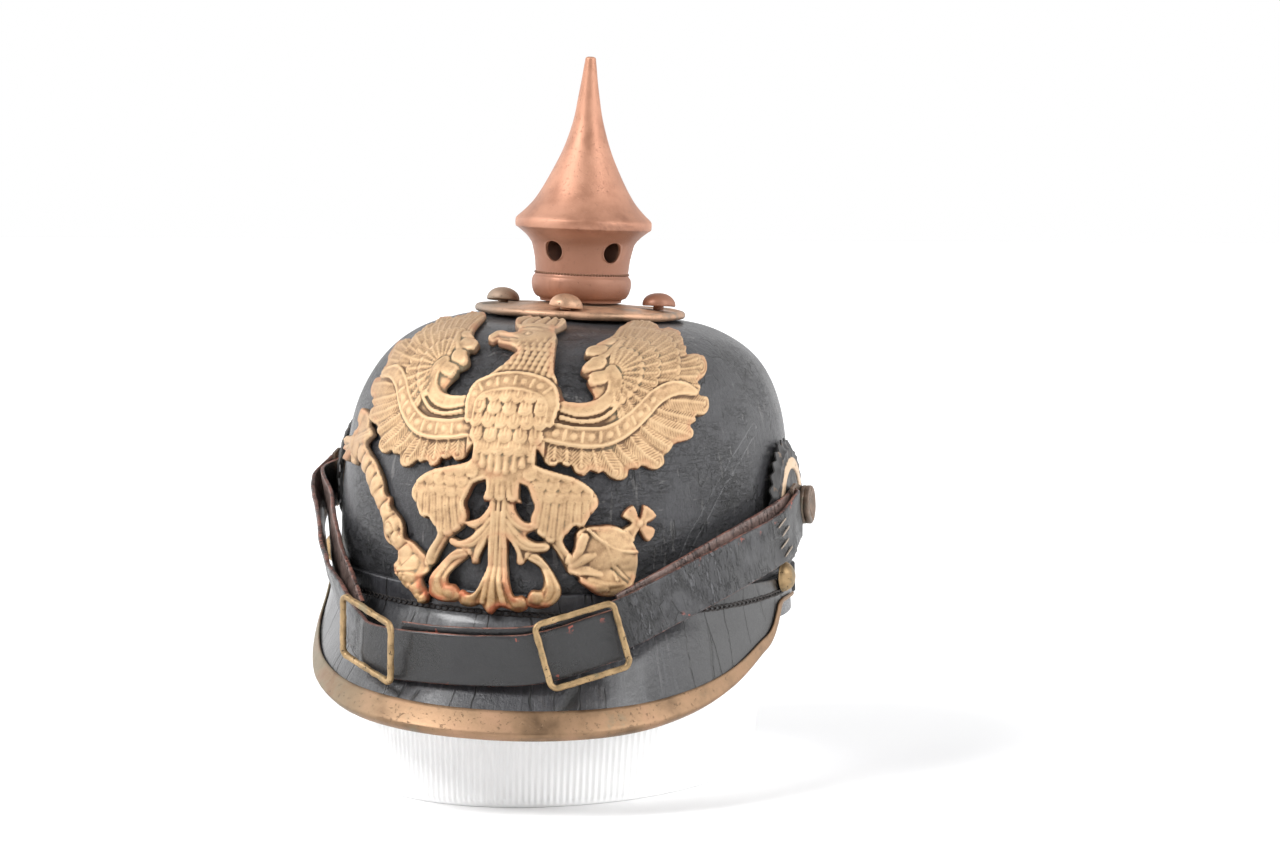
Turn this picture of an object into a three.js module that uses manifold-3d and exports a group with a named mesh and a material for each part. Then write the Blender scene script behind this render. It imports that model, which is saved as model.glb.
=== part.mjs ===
// A pressed-leather spiked helmet on the plain oval stand that carries it.
// Millimetres, +Z up, the front faces -Y and +X is the wearer's left.
import * as THREE from 'three';
import { mergeVertices } from 'three/addons/utils/BufferGeometryUtils.js';
import Module from 'manifold-3d';

// ---- driving dimensions --------------------------------------------------------------------
const GAP = 0.3; // air between touching pieces

// The helmet stands on its own axes: origin in the middle of the brim, then leaned on the stand.
const LEAN = THREE.MathUtils.degToRad(2.5); // the spike leans towards +X
const SEAT = new THREE.Vector3(4, 0, 62); // middle of the brim above the floor

const SKULL = {
  halfWidth: 83.2,
  halfLength: 103,
  height: 107.3,
  frontPower: 3.5, // superellipse power of the section from front to back
  sidePower: 4.1, // and of the section from side to side
  bulge: 2.2, // the old leather leans this far towards -X at half height
  wall: 2.4,
};

const VISOR = {
  wall: 2.6,
  stitchHeight: 6.5, // stitch line above the brim at the front
  stitchRise: 4.5, // how much higher it runs at the sides
  flange: 7.5, // upright band above the stitch line
  flangeTaper: 0.32, // and how much of it is cut away under the side posts
  end: 88, // degrees from the front where the visor ends
};

// Lower edge of the front visor: degrees from the front, reach outside the skull, height.
const FRONT_EDGE = [
  { turn: 0, reach: 32, height: -31 },
  { turn: 12, reach: 31.2, height: -30.4 },
  { turn: 24, reach: 27.4, height: -28.3 },
  { turn: 36, reach: 21, height: -23.6 },
  { turn: 48, reach: 13.6, height: -17.4 },
  { turn: 60, reach: 8.2, height: -9.4 },
  { turn: 68, reach: 5.8, height: -4.4 },
  { turn: 72, reach: 4.6, height: 0.8 },
  { turn: 76, reach: 3.6, height: 6 },
  { turn: 82, reach: 3.2, height: 7.6 },
  { turn: 88, reach: 3.1, height: 8.2 },
];

// Lower edge of the rear visor, from the back towards the side.
const REAR_END = 64;
const REAR_EDGE = [
  { turn: 0, reach: 20, height: -34 },
  { turn: 14, reach: 18.6, height: -32 },
  { turn: 28, reach: 12, height: -25 },
  { turn: 40, reach: 5.6, height: -14 },
  { turn: 50, reach: 3, height: -4 },
  { turn: 58, reach: 3, height: 1.5 },
  { turn: 64, reach: 3, height: 4 },
];

const TRIM = { wall: 0.7, innerLeg: 4, end: 68 };
// How far the outer leg of the trim reaches up the visor, by degrees from the front.
const TRIM_LEG = [
  { turn: 0, leg: 9 },
  { turn: 20, leg: 8.6 },
  { turn: 35, leg: 7 },
  { turn: 50, leg: 5 },
  { turn: 65, leg: 3.6 },
];

const SPIKE = { holes: 5, holeRadius: 3.7, holeHeight: 130.8, firstHole: -22.5, wall: 0.9 };

// Outside of the spike from tip to foot: radius and height above the brim.
const SPIKE_OUTSIDE = [
  { radius: 1.3, height: 202.4 },
  { radius: 1.9, height: 200.5 },
  { radius: 4.1, height: 187.6 },
  { radius: 7.1, height: 174.2 },
  { radius: 9.4, height: 167.4 },
  { radius: 12.4, height: 160.7 },
  { radius: 15.9, height: 153.9 },
  { radius: 19.0, height: 149.0 },
  { radius: 24.9, height: 143.0 },
  { radius: 25.4, height: 142.4 },
  { radius: 25.4, height: 139.2 },
  { radius: 21.3, height: 136.2 },
  { radius: 19.4, height: 133.8 },
  { radius: 17.9, height: 128.0 },
  { radius: 17.4, height: 122.0 },
  { radius: 18.2, height: 121.0 },
  { radius: 18.7, height: 118.6 },
  { radius: 18.2, height: 115.8 },
  { radius: 16.6, height: 113.4 },
  { radius: 15.3, height: 112.9 },
  { radius: 15.2, height: 111.9 },
];

const BASE = {
  radius: 39.4, rim: 1.5, rimHeight: 108.3, rimStep: 0.6, collarRadius: 14.4, collarHeight: 111.2,
};
const STUD = { place: 29.6, head: 6.2, dome: 4.4, shank: 1.9, turn: 2.5, lift: 0.9 };

// Side posts: the old one on the right sits further back.
const POST_PLACE = { left: { y: -5, height: 41, dip: 15 }, right: { y: 10, height: 43, dip: 18 } };
const POST = { neck: 3.2, foot: 0.6, head: 7.1, headStart: 7.9, length: 3.6 };
const COCKADE = { radius: 24.5, teeth: 28, tooth: 0.7, lift: 0.5 };
const LUG = { wall: 1, start: 6.5, ring: 7, slot: 4, slotStart: 7.2, bar: 1.6, side: 1.6 };
const STRAP = { width: 18, wall: 1.6, foldRadius: 1.6, foldPlace: 10, inner: 5.4 };
const BUCKLE = { length: 30.6, width: 25, bar: 2.2, wall: 2.1, corner: 2.4 };

// The end turned back behind each half, row by row: how far inside it lies, how much higher it
// rides and its lean.
const TURNED_LEFT = [
  { inside: 1.8, rise: 2.6, lean: -6 },
  { inside: 1.8, rise: 2.4, lean: -8 },
  { inside: 1.8, rise: 1.8, lean: -8 },
  { inside: 2, rise: 1.3, lean: -6 },
  { inside: 2.2, rise: 0.9, lean: -3 },
];
const TURNED_RIGHT = [
  { inside: 1.8, rise: 2.8, lean: 10 },
  { inside: 2.6, rise: 3.4, lean: 2 },
  { inside: 2.9, rise: 3.4, lean: 2 },
  { inside: 2.9, rise: 3.4, lean: 4 },
  { inside: 2.6, rise: 2.8, lean: 6 },
  { inside: 2, rise: 1.6, lean: 4 },
];
// Middle lines of the two strap halves from the posts to the front. `lean` tips the upper edge
// outward, in degrees.
const STRAP_LEFT = [
  { x: 85.6, y: -34, z: 32.6, lean: -6 },
  { x: 77.2, y: -59.5, z: 26.4, lean: -8 },
  { x: 66.6, y: -81.3, z: 19.6, lean: -8 },
  { x: 55.6, y: -97.7, z: 12.9, lean: -6 },
  { x: 46.5, y: -107.8, z: 7.5, lean: -3 },
  { x: 37, y: -113.2, z: 3.2, lean: 0 },
  { x: 27, y: -118.6, z: -0.6, lean: 3 },
  { x: 15, y: -122.5, z: -3.6, lean: 5 },
  { x: 0, y: -124.2, z: -4.9, lean: 6 },
  { x: -17, y: -122.5, z: -5.5, lean: 5 },
  { x: -31, y: -118, z: -5.6, lean: 4 },
];
const STRAP_RIGHT = [
  { x: -93, y: -14, z: 34.2, lean: 12 },
  { x: -85.6, y: -36.5, z: 26.5, lean: 14 },
  { x: -77.2, y: -59.5, z: 18.6, lean: 16 },
  { x: -67.6, y: -80, z: 10.4, lean: 20 },
  { x: -59.4, y: -93.4, z: 4.4, lean: 14 },
  { x: -54.4, y: -101, z: -0.8, lean: 8 },
  { x: -49.4, y: -107.4, z: -5, lean: 4 },
  { x: -45.4, y: -112.8, z: -7, lean: 4 },
  { x: -34.2, y: -119.6, z: -7.9, lean: 4 },
  { x: -17, y: -125.3, z: -7.7, lean: 5 },
  { x: 0, y: -127, z: -7.2, lean: 6 },
  { x: 15.5, y: -125.5, z: -5.9, lean: 5 },
  { x: 28, y: -121.8, z: -2.6, lean: 3 },
  { x: 37.2, y: -118, z: 1, lean: 2 },
  { x: 44.6, y: -114.6, z: 3.6, lean: 2 },
];
const RIVET = { radius: 5.6, dome: 4.6, y: -17, height: 15.5, seat: 0.66 }; // seat: air under it
const SPINE = { width: 8, wall: 1.2 };

// ---- small helpers -------------------------------------------------------------------------
const rad = THREE.MathUtils.degToRad;
const V = (x, y, z) => new THREE.Vector3(x, y, z);

// Reads a column of a table at a value of its first column, with a smooth curve through the rows.
function readTable(rows, key, value, column) {
  const last = rows.length - 1;
  const clamped = Math.min(Math.max(value, rows[0][key]), rows[last][key]);
  let i = 0;
  while (i < last - 1 && rows[i + 1][key] <= clamped) i += 1;
  const [a, b] = [rows[i], rows[i + 1]];
  const before = rows[Math.max(i - 1, 0)];
  const after = rows[Math.min(i + 2, last)];
  const span = b[key] - a[key];
  const s = (clamped - a[key]) / span;
  const slopeA = i === 0 ? 0 : ((b[column] - before[column]) / (b[key] - before[key])) * span;
  const slopeB = ((after[column] - a[column]) / (after[key] - a[key])) * span;
  const h = (1 - s) * (1 - s);
  return h * (1 + 2 * s) * a[column] + h * s * slopeA
    + s * s * (3 - 2 * s) * b[column] - s * s * (1 - s) * slopeB;
}

// Joins equal rings of points into a closed solid. Ends are flat caps, unless `closed` joins the
// last ring to the first, or `tips` gives the two end points.
function loft(rings, { closed = false, tips = null } = {}) {
  const size = rings[0].length;
  const points = rings.flat();
  const index = [];
  const turns = closed ? rings.length : rings.length - 1;
  for (let i = 0; i < turns; i += 1) {
    const a = i * size;
    const b = ((i + 1) % rings.length) * size;
    for (let j = 0; j < size; j += 1) {
      const k = (j + 1) % size;
      index.push(a + j, b + j, b + k, a + j, b + k, a + k);
    }
  }
  const lastRing = (rings.length - 1) * size;
  if (tips) {
    points.push(tips[0], tips[1]);
    for (let j = 0; j < size; j += 1) {
      const k = (j + 1) % size;
      index.push(points.length - 2, j, k);
      index.push(points.length - 1, lastRing + k, lastRing + j);
    }
  } else if (!closed) {
    for (const [j, k, l] of capTriangles(rings[0])) index.push(j, k, l);
    for (const [j, k, l] of capTriangles(rings[rings.length - 1])) {
      index.push(lastRing + l, lastRing + k, lastRing + j);
    }
  }
  const geometry = new THREE.BufferGeometry();
  const flat = points.flatMap((p) => [p.x, p.y, p.z]);
  geometry.setAttribute('position', new THREE.Float32BufferAttribute(flat, 3));
  geometry.setIndex(index);
  return faceOutward(geometry);
}

// Triangles of a flat closed ring, in the ring's own order.
function capTriangles(ring) {
  const normal = V(0, 0, 0);
  ring.forEach((p, i) => normal.add(p.clone().cross(ring[(i + 1) % ring.length])));
  normal.normalize();
  const across = ring[1].clone().sub(ring[0]).normalize();
  const up = normal.clone().cross(across);
  const flat = ring.map((p) => new THREE.Vector2(p.dot(across), p.dot(up)));
  return THREE.ShapeUtils.triangulateShape(flat, []);
}

function signedVolume(geometry) {
  const p = geometry.getAttribute('position');
  const index = geometry.getIndex().array;
  const [a, b, c] = [V(0, 0, 0), V(0, 0, 0), V(0, 0, 0)];
  let sum = 0;
  for (let i = 0; i < index.length; i += 3) {
    a.fromBufferAttribute(p, index[i]);
    b.fromBufferAttribute(p, index[i + 1]);
    c.fromBufferAttribute(p, index[i + 2]);
    sum += a.dot(b.cross(c));
  }
  return sum / 6;
}

function faceOutward(geometry) {
  if (signedVolume(geometry) < 0) {
    const index = geometry.getIndex().array;
    for (let i = 0; i < index.length; i += 3) [index[i], index[i + 1]] = [index[i + 1], index[i]];
  }
  return geometry;
}

const wasm = await Module();
wasm.setup();

// A closed three.js geometry as a solid for boolean work, and back again.
function toSolid(geometry) {
  const bare = geometry.clone();
  bare.deleteAttribute('normal');
  bare.deleteAttribute('uv');
  const merged = mergeVertices(bare, 1e-4);
  const mesh = new wasm.Mesh({
    numProp: 3,
    vertProperties: Float32Array.from(merged.getAttribute('position').array),
    triVerts: Uint32Array.from(merged.getIndex().array),
  });
  return new wasm.Manifold(mesh);
}

function toGeometry(solid) {
  const mesh = solid.getMesh();
  const geometry = new THREE.BufferGeometry();
  geometry.setAttribute('position', new THREE.Float32BufferAttribute(mesh.vertProperties, 3));
  geometry.setIndex(Array.from(mesh.triVerts));
  return geometry;
}

// ---- the skull's surface, which everything on it follows ----------------------------------
// `turn` is the angle from the front towards +X, `rise` the angle from the brim to the crown.
const bulgeAt = (height) =>
  SKULL.bulge * Math.sin(Math.PI * THREE.MathUtils.clamp(height / SKULL.height, 0, 1));

// A point given by its turn in radians, its distance from the skull's axis and its height.
const axial = (turn, radius, height) =>
  V(radius * Math.sin(turn) - bulgeAt(height), -radius * Math.cos(turn), height);

function skullPoint(turn, rise, outside = 0) {
  const place = (t, r) => {
    const side = Math.sin(t) ** 2;
    const power = SKULL.sidePower * side + SKULL.frontPower * (1 - side);
    const across = Math.hypot(Math.sin(t) / SKULL.halfWidth, Math.cos(t) / SKULL.halfLength);
    const [c, s] = [Math.max(Math.cos(r), 0), Math.max(Math.sin(r), 0)];
    const scale = (c ** power + s ** power) ** (-1 / power);
    return axial(t, (c * scale) / across, SKULL.height * s * scale);
  };
  const point = place(turn, rise);
  if (outside === 0) return point;
  const step = 1e-3;
  const r = Math.min(rise, Math.PI / 2 - 2 * step);
  const alongTurn = place(turn + step, r).sub(place(turn - step, r));
  const alongRise = place(turn, r + step).sub(place(turn, Math.max(r - step, 0)));
  const normal = alongTurn.cross(alongRise).normalize();
  return point.addScaledVector(normal, outside);
}

// The skull's outer radius at a height above the brim.
function skullRadius(turn, height) {
  let [low, high] = [0, Math.PI / 2];
  for (let i = 0; i < 40; i += 1) {
    const middle = (low + high) / 2;
    if (skullPoint(turn, middle).z < height) low = middle;
    else high = middle;
  }
  const p = skullPoint(turn, low);
  return Math.hypot(p.x + bulgeAt(p.z), p.y);
}

// A frame on the skull's outside: its middle, its normal and two directions in the surface.
function skullFrame(turn, height) {
  const at = (t, z) => axial(t, skullRadius(t, z), z);
  const middle = at(turn, height);
  const up = at(turn, height + 1).sub(at(turn, height - 1)).normalize();
  const side = at(turn + 0.01, height).sub(at(turn - 0.01, height));
  return { middle, normal: side.cross(up).normalize() };
}

function skull() {
  const [around, steps] = [48, 12];
  const top = rad(89);
  const ring = (rise, outside) => Array.from({ length: around }, (_, i) =>
    skullPoint((2 * Math.PI * i) / around, rise, outside));
  const rises = Array.from({ length: steps + 1 }, (_, i) => (top * i) / steps);
  const outer = rises.map((rise) => ring(rise, 0)).reverse();
  const inner = rises.map((rise) => ring(rise, -SKULL.wall));
  inner[0].forEach((p) => { p.z = 0; });
  const tips = [V(0, 0, SKULL.height), V(0, 0, SKULL.height - SKULL.wall)];
  return loft([...outer, ...inner], { tips });
}

// ---- visors --------------------------------------------------------------------------------
// Section of a visor in the upright plane at `turn`: radius and height of its corners.
function visorSection(turn, edgeTable, rear) {
  const fromMiddle = rear ? 180 - Math.abs(turn) : Math.abs(turn);
  const t = rad(turn);
  const stitch = VISOR.stitchHeight + VISOR.stitchRise * (1 - Math.abs(Math.cos(t)));
  const top = stitch + VISOR.flange * (1 - VISOR.flangeTaper * Math.sin(t) ** 8);
  const bend = stitch - 1.5;
  const inside = (z) => skullRadius(t, z) + GAP;
  const reach = readTable(edgeTable, 'turn', fromMiddle, 'reach');
  const edgeHeight = readTable(edgeTable, 'turn', fromMiddle, 'height');
  const bendOut = new THREE.Vector2(inside(bend) + VISOR.wall, bend);
  const edgeOut = new THREE.Vector2(skullRadius(t, 0) + reach, edgeHeight);
  const slope = edgeOut.clone().sub(bendOut).normalize();
  const inward = new THREE.Vector2(slope.y, -slope.x);
  const flangeIn = new THREE.Vector2(-1, 0);
  const miter = flangeIn.clone().add(inward).multiplyScalar(VISOR.wall / (1 + flangeIn.dot(inward)));
  const leg = Math.min(readTable(TRIM_LEG, 'turn', fromMiddle, 'leg'), edgeOut.distanceTo(bendOut) * 0.6);
  return {
    leg,
    legOut: edgeOut.clone().addScaledVector(slope, -leg),
    topOut: new THREE.Vector2(inside(top) + VISOR.wall, top),
    topIn: new THREE.Vector2(inside(top), top),
    bendOut,
    bendIn: bendOut.clone().add(miter),
    edgeOut,
    edgeIn: edgeOut.clone().addScaledVector(inward, VISOR.wall),
    slope,
    inward,
  };
}

// A point of a visor's section, in the upright plane at `turn` degrees.
const inPlane = (turn, p) => axial(rad(turn), p.x, p.y);

function visor(edgeTable, rear) {
  const steps = 44;
  const end = rear ? REAR_END : VISOR.end;
  const start = rear ? 180 - end : -end;
  const rings = Array.from({ length: steps + 1 }, (_, i) => {
    const turn = start + (2 * end * i) / steps;
    const fromFront = turn > 180 ? turn - 360 : turn;
    const s = visorSection(fromFront, edgeTable, rear);
    const corners = [s.topOut, s.bendOut, s.legOut, s.edgeOut, s.edgeIn, s.bendIn, s.topIn];
    return corners.map((p) => inPlane(turn, p));
  });
  return loft(rings);
}

// The trim lies over the visor's outer face, passes under its edge and turns up inside it.
function visorTrim() {
  const steps = TRIM.end / 2; // the same stations as the visor
  const skin = GAP + TRIM.wall;
  const deepest = VISOR.wall + skin;
  const rings = Array.from({ length: steps + 1 }, (_, i) => {
    const turn = -TRIM.end + (2 * TRIM.end * i) / steps;
    const { leg, edgeOut, slope, inward } = visorSection(turn, FRONT_EDGE, false);
    const inner = Math.min(TRIM.innerLeg, leg * 0.5);
    const section = [
      [-leg, -skin], [skin, -skin], [skin, deepest], [-inner, deepest],
      [-inner, VISOR.wall + GAP], [GAP, VISOR.wall + GAP], [GAP, -GAP], [-leg, -GAP],
    ];
    return section.map(([along, deep]) => inPlane(turn,
      edgeOut.clone().addScaledVector(slope, along).addScaledVector(inward, deep)));
  });
  return loft(rings);
}

// Plain metal strip down the back of the skull.
function rearSpine() {
  const steps = 14;
  const rings = Array.from({ length: steps + 1 }, (_, i) => {
    const rise = rad(9.5 + (57.5 * i) / steps);
    const middle = skullPoint(Math.PI, rise, GAP);
    const outer = skullPoint(Math.PI, rise, GAP + SPINE.wall);
    return [[-1, middle], [1, middle], [1, outer], [-1, outer]].map(([side, p]) =>
      p.clone().add(V((side * SPINE.width) / 2, 0, 0)));
  });
  return loft(rings);
}

// ---- spike and its base --------------------------------------------------------------------
function lathe(profile, segments = 48) {
  const points = profile.map(([radius, height]) => new THREE.Vector2(radius, height));
  const geometry = new THREE.LatheGeometry(points, segments);
  geometry.rotateX(Math.PI / 2);
  const bare = geometry.clone();
  bare.deleteAttribute('normal');
  bare.deleteAttribute('uv');
  return faceOutward(mergeVertices(bare, 1e-4));
}

function spike() {
  const outside = SPIKE_OUTSIDE.map((row) => [row.radius, row.height]);
  const foot = SPIKE_OUTSIDE[SPIKE_OUTSIDE.length - 1];
  const inside = SPIKE_OUTSIDE.filter((row) => row.radius > 2.5 * SPIKE.wall && row !== foot)
    .map((row) => [row.radius - SPIKE.wall, row.height]).reverse();
  const flangeFloor = inside.filter(([radius]) => radius < 24);
  const tip = SPIKE_OUTSIDE[0].height + 0.6;
  const start = [[foot.radius - SPIKE.wall, foot.height]];
  const shell = lathe([[0, tip], ...outside, ...start, ...flangeFloor, [0, 188]], 32);
  let solid = toSolid(shell);
  for (let i = 0; i < SPIKE.holes; i += 1) {
    const drill = new THREE.CylinderGeometry(SPIKE.holeRadius, SPIKE.holeRadius, 10, 16);
    drill.translate(0, -18, 0);
    drill.rotateZ(rad(SPIKE.firstHole + (360 * i) / SPIKE.holes));
    drill.translate(0, 0, SPIKE.holeHeight);
    solid = solid.subtract(toSolid(drill));
  }
  return toGeometry(solid);
}

// Height of the base plate's top between its collar and its rim.
function baseTop(radius) {
  const s = (radius - BASE.collarRadius) / (BASE.radius - BASE.rim - BASE.collarRadius);
  const drop = BASE.collarHeight - BASE.rimHeight - BASE.rimStep;
  return BASE.collarHeight - drop * Math.min(Math.max(s, 0), 1);
}

function spikeBase() {
  const middle = BASE.radius - BASE.rim;
  const round = Array.from({ length: 6 }, (_, i) => {
    const angle = rad(155 - (i * 290) / 5);
    return [middle + BASE.rim * Math.cos(angle), BASE.rimHeight + BASE.rim * Math.sin(angle)];
  });
  const wall = 1.1;
  const top = [4, BASE.collarRadius, 22].map((r) => [r, baseTop(r)]);
  const under = [[22, baseTop(22) - wall], [BASE.collarRadius, baseTop(0) - wall], [4, baseTop(0) - wall]];
  return lathe([...top, ...round, ...under, [4, baseTop(4)]], 44);
}

function stud(place) {
  const seat = baseTop(STUD.place) + GAP;
  const under = seat + STUD.lift;
  const dome = Array.from({ length: 5 }, (_, i) => {
    const angle = rad(90 - i * 22.5);
    return [STUD.head * Math.cos(angle), under + 0.5 + STUD.dome * Math.sin(angle)];
  });
  const foot = [[STUD.head - 0.4, under], [STUD.shank, under], [STUD.shank, seat], [0, seat]];
  const geometry = lathe([...dome, ...foot], 18);
  geometry.translate(0, -STUD.place, 0);
  geometry.rotateZ(rad(place + STUD.turn));
  return geometry;
}

// ---- side fittings -------------------------------------------------------------------------
// Turns a geometry built on +Z so that its axis follows `frame.normal` and X follows `along`.
function placeOn(geometry, frame, along) {
  const x = along.clone().addScaledVector(frame.normal, -along.dot(frame.normal)).normalize();
  const y = frame.normal.clone().cross(x);
  const matrix = new THREE.Matrix4().makeBasis(x, y, frame.normal).setPosition(frame.middle);
  return geometry.applyMatrix4(matrix);
}

// `side` is 1 on the wearer's left and -1 on the right.
const sideName = (side) => (side > 0 ? 'left' : 'right');

function postFrame(side) {
  const place = POST_PLACE[sideName(side)];
  return skullFrame(Math.atan2(side * SKULL.halfWidth, -place.y), place.height);
}

function strapRun(side) {
  const dip = rad(POST_PLACE[sideName(side)].dip);
  return V(0, -Math.cos(dip), -Math.sin(dip));
}

function cockade(side) {
  const around = COCKADE.teeth * 2;
  // Radius and height of the dish, outside then inside.
  const dish = [
    { radius: 3.8, height: 5.2 },
    { radius: 6.2, height: 5.2 },
    { radius: 7, height: 3.6 },
    { radius: 20.6, height: 2.8 },
    { radius: 21.4, height: 1.7 },
    { radius: 24.5, height: 0.8 },
    { radius: 24.5, height: 0 },
    { radius: 20.4, height: 1.1 },
    { radius: 3.8, height: 2.2 },
  ];
  const rings = dish.map((row) => Array.from({ length: around }, (_, i) => {
    const notch = row.radius > 23 && i % 2 ? COCKADE.tooth : 0;
    const angle = (2 * Math.PI * i) / around;
    const radius = row.radius - notch;
    return V(radius * Math.cos(angle), radius * Math.sin(angle), row.height + COCKADE.lift);
  }));
  return placeOn(loft(rings, { closed: true }), postFrame(side), strapRun(side));
}

function sidePost(side) {
  const headEnd = POST.headStart + POST.length;
  const geometry = lathe([
    [0, headEnd], [POST.head - 0.6, headEnd], [POST.head, headEnd - 0.6],
    [POST.head, POST.headStart], [POST.neck, POST.headStart], [POST.neck, POST.foot],
    [0, POST.foot],
  ], 28);
  return placeOn(geometry, postFrame(side), strapRun(side));
}

function strapLug(side) {
  const far = LUG.slotStart + LUG.slot + LUG.bar;
  const slotHalf = STRAP.width / 2 + GAP;
  const half = slotHalf + LUG.side;
  const outline = new THREE.Shape();
  outline.absarc(0, 0, LUG.ring, rad(250), rad(110), true);
  outline.lineTo(LUG.slotStart, half);
  outline.lineTo(far, half);
  outline.lineTo(far, -half);
  outline.lineTo(LUG.slotStart, -half);
  const bore = new THREE.Path();
  bore.absarc(0, 0, POST.neck + GAP, 0, rad(345), false);
  const slot = new THREE.Path();
  slot.moveTo(LUG.slotStart, -slotHalf);
  slot.lineTo(LUG.slotStart + LUG.slot, -slotHalf);
  slot.lineTo(LUG.slotStart + LUG.slot, slotHalf);
  slot.lineTo(LUG.slotStart, slotHalf);
  outline.holes.push(bore, slot);
  const options = { depth: LUG.wall, bevelEnabled: false, curveSegments: 10 };
  const geometry = new THREE.ExtrudeGeometry(outline, options);
  geometry.translate(0, 0, LUG.start);
  return placeOn(geometry, postFrame(side), strapRun(side));
}

function visorRivet(side) {
  const frame = skullFrame(Math.atan2(side * SKULL.halfWidth, -RIVET.y), RIVET.height);
  const start = VISOR.wall + RIVET.seat;
  const dome = Array.from({ length: 6 }, (_, i) => {
    const angle = rad(90 - i * 18);
    return [RIVET.radius * Math.cos(angle), start + RIVET.dome * Math.sin(angle)];
  });
  const foot = [[RIVET.radius - 0.3, start - 0.1], [0, start - 0.1]];
  return placeOn(lathe([...dome, ...foot], 24), frame, V(0, -1, 0));
}

// ---- chin strap ----------------------------------------------------------------------------
// Points along the strap's middle, from the end turned back behind it, round the lug's bar, to
// its front end, each with the direction of the strap's width.
function strapPath(side) {
  const frame = postFrame(side);
  const run = strapRun(side);
  const along = run.addScaledVector(frame.normal, -run.dot(frame.normal)).normalize();
  const level = frame.normal.clone().cross(along).multiplyScalar(-side);
  const at = (e, n) => frame.middle.clone().addScaledVector(along, e).addScaledVector(frame.normal, n);
  const rows = side > 0 ? STRAP_LEFT : STRAP_RIGHT;
  const turned = side > 0 ? TURNED_LEFT : TURNED_RIGHT;
  const marks = rows.map((row) => V(row.x, row.y, row.z));
  const seat = frame.middle.clone().addScaledVector(frame.normal, STRAP.inner);
  const apart = 2 * STRAP.foldRadius;
  const ahead = [];
  const behind = [];
  rows.forEach((row, i) => {
    const tangent = (marks[i + 1] ?? marks[i]).clone().sub(i ? marks[i - 1] : seat).normalize();
    const upright = V(0, 0, 1).addScaledVector(tangent, -tangent.z).normalize();
    const outward = tangent.clone().cross(upright);
    outward.multiplyScalar(Math.sign(outward.dot(V(row.x, row.y, 0))));
    const tipped = (lean) => upright.clone().multiplyScalar(Math.cos(rad(lean)))
      .addScaledVector(outward, Math.sin(rad(lean)));
    const out = (apart / 2) * Math.max(1 - i / turned.length, 0);
    ahead.push({ middle: marks[i].clone().addScaledVector(outward, out), width: tipped(row.lean) });
    if (i < turned.length) {
      const { inside, rise, lean } = turned[i];
      const width = tipped(lean);
      const middle = marks[i].clone().addScaledVector(outward, -inside).addScaledVector(width, rise);
      behind.unshift({ middle, width });
    }
  });
  const fold = [at(STRAP.foldPlace + 3, STRAP.inner)];
  for (const turn of [180, 135, 90, 45, 0]) {
    const deep = STRAP.inner + STRAP.foldRadius * (1 + Math.cos(rad(turn)));
    fold.push(at(STRAP.foldPlace - STRAP.foldRadius * Math.sin(rad(turn)), deep));
  }
  fold.push(at(STRAP.foldPlace + 3, STRAP.inner + apart));
  return [...behind, ...fold.map((middle) => ({ middle, width: level })), ...ahead];
}

// A strap is a flat band carried along its path.
function strap(side) {
  const path = strapPath(side);
  const route = new THREE.CatmullRomCurve3(path.map((p) => p.middle), false, 'centripetal');
  const count = (path.length - 1) * 3;
  const rings = Array.from({ length: count + 1 }, (_, i) => {
    const place = (i / count) * (path.length - 1);
    const from = Math.min(Math.floor(place), path.length - 2);
    const middle = route.getPoint(i / count);
    const tangent = route.getTangent(i / count);
    const width = path[from].width.clone().lerp(path[from + 1].width, place - from);
    width.addScaledVector(tangent, -width.dot(tangent)).normalize();
    const facing = tangent.clone().cross(width);
    return [[-1, -1], [1, -1], [1, 1], [-1, 1]].map(([a, b]) => middle.clone()
      .addScaledVector(width, (a * STRAP.width) / 2)
      .addScaledVector(facing, (b * STRAP.wall) / 2));
  });
  return loft(rings);
}

// A rectangular wire buckle: its middle, the direction of its long side and of its short side.
function buckle(middle, longSide, shortSide) {
  const long = longSide.clone().normalize();
  const out = long.clone().cross(shortSide).normalize();
  const tall = out.clone().cross(long);
  const corner = BUCKLE.corner;
  const halfLong = (BUCKLE.length - BUCKLE.bar) / 2 - corner;
  const halfTall = (BUCKLE.width - BUCKLE.bar) / 2 - corner;
  const [w, t, c] = [BUCKLE.bar / 2, BUCKLE.wall / 2, 0.6];
  const section = [
    [w, c - t], [w, t - c], [w - c, t], [c - w, t], [-w, t - c], [-w, c - t], [c - w, -t], [w - c, -t],
  ];
  const rings = [];
  for (const [sx, sy, start] of [[1, 1, 0], [-1, 1, 90], [-1, -1, 180], [1, -1, 270]]) {
    for (const step of [0, 30, 60, 90]) {
      const angle = rad(start + step);
      const away = long.clone().multiplyScalar(Math.cos(angle)).addScaledVector(tall, Math.sin(angle));
      const centre = middle.clone().addScaledVector(long, sx * halfLong)
        .addScaledVector(tall, sy * halfTall).addScaledVector(away, corner);
      rings.push(section.map(([across, deep]) => centre.clone()
        .addScaledVector(away, across).addScaledVector(out, deep)));
    }
  }
  return loft(rings, { closed: true });
}

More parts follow.
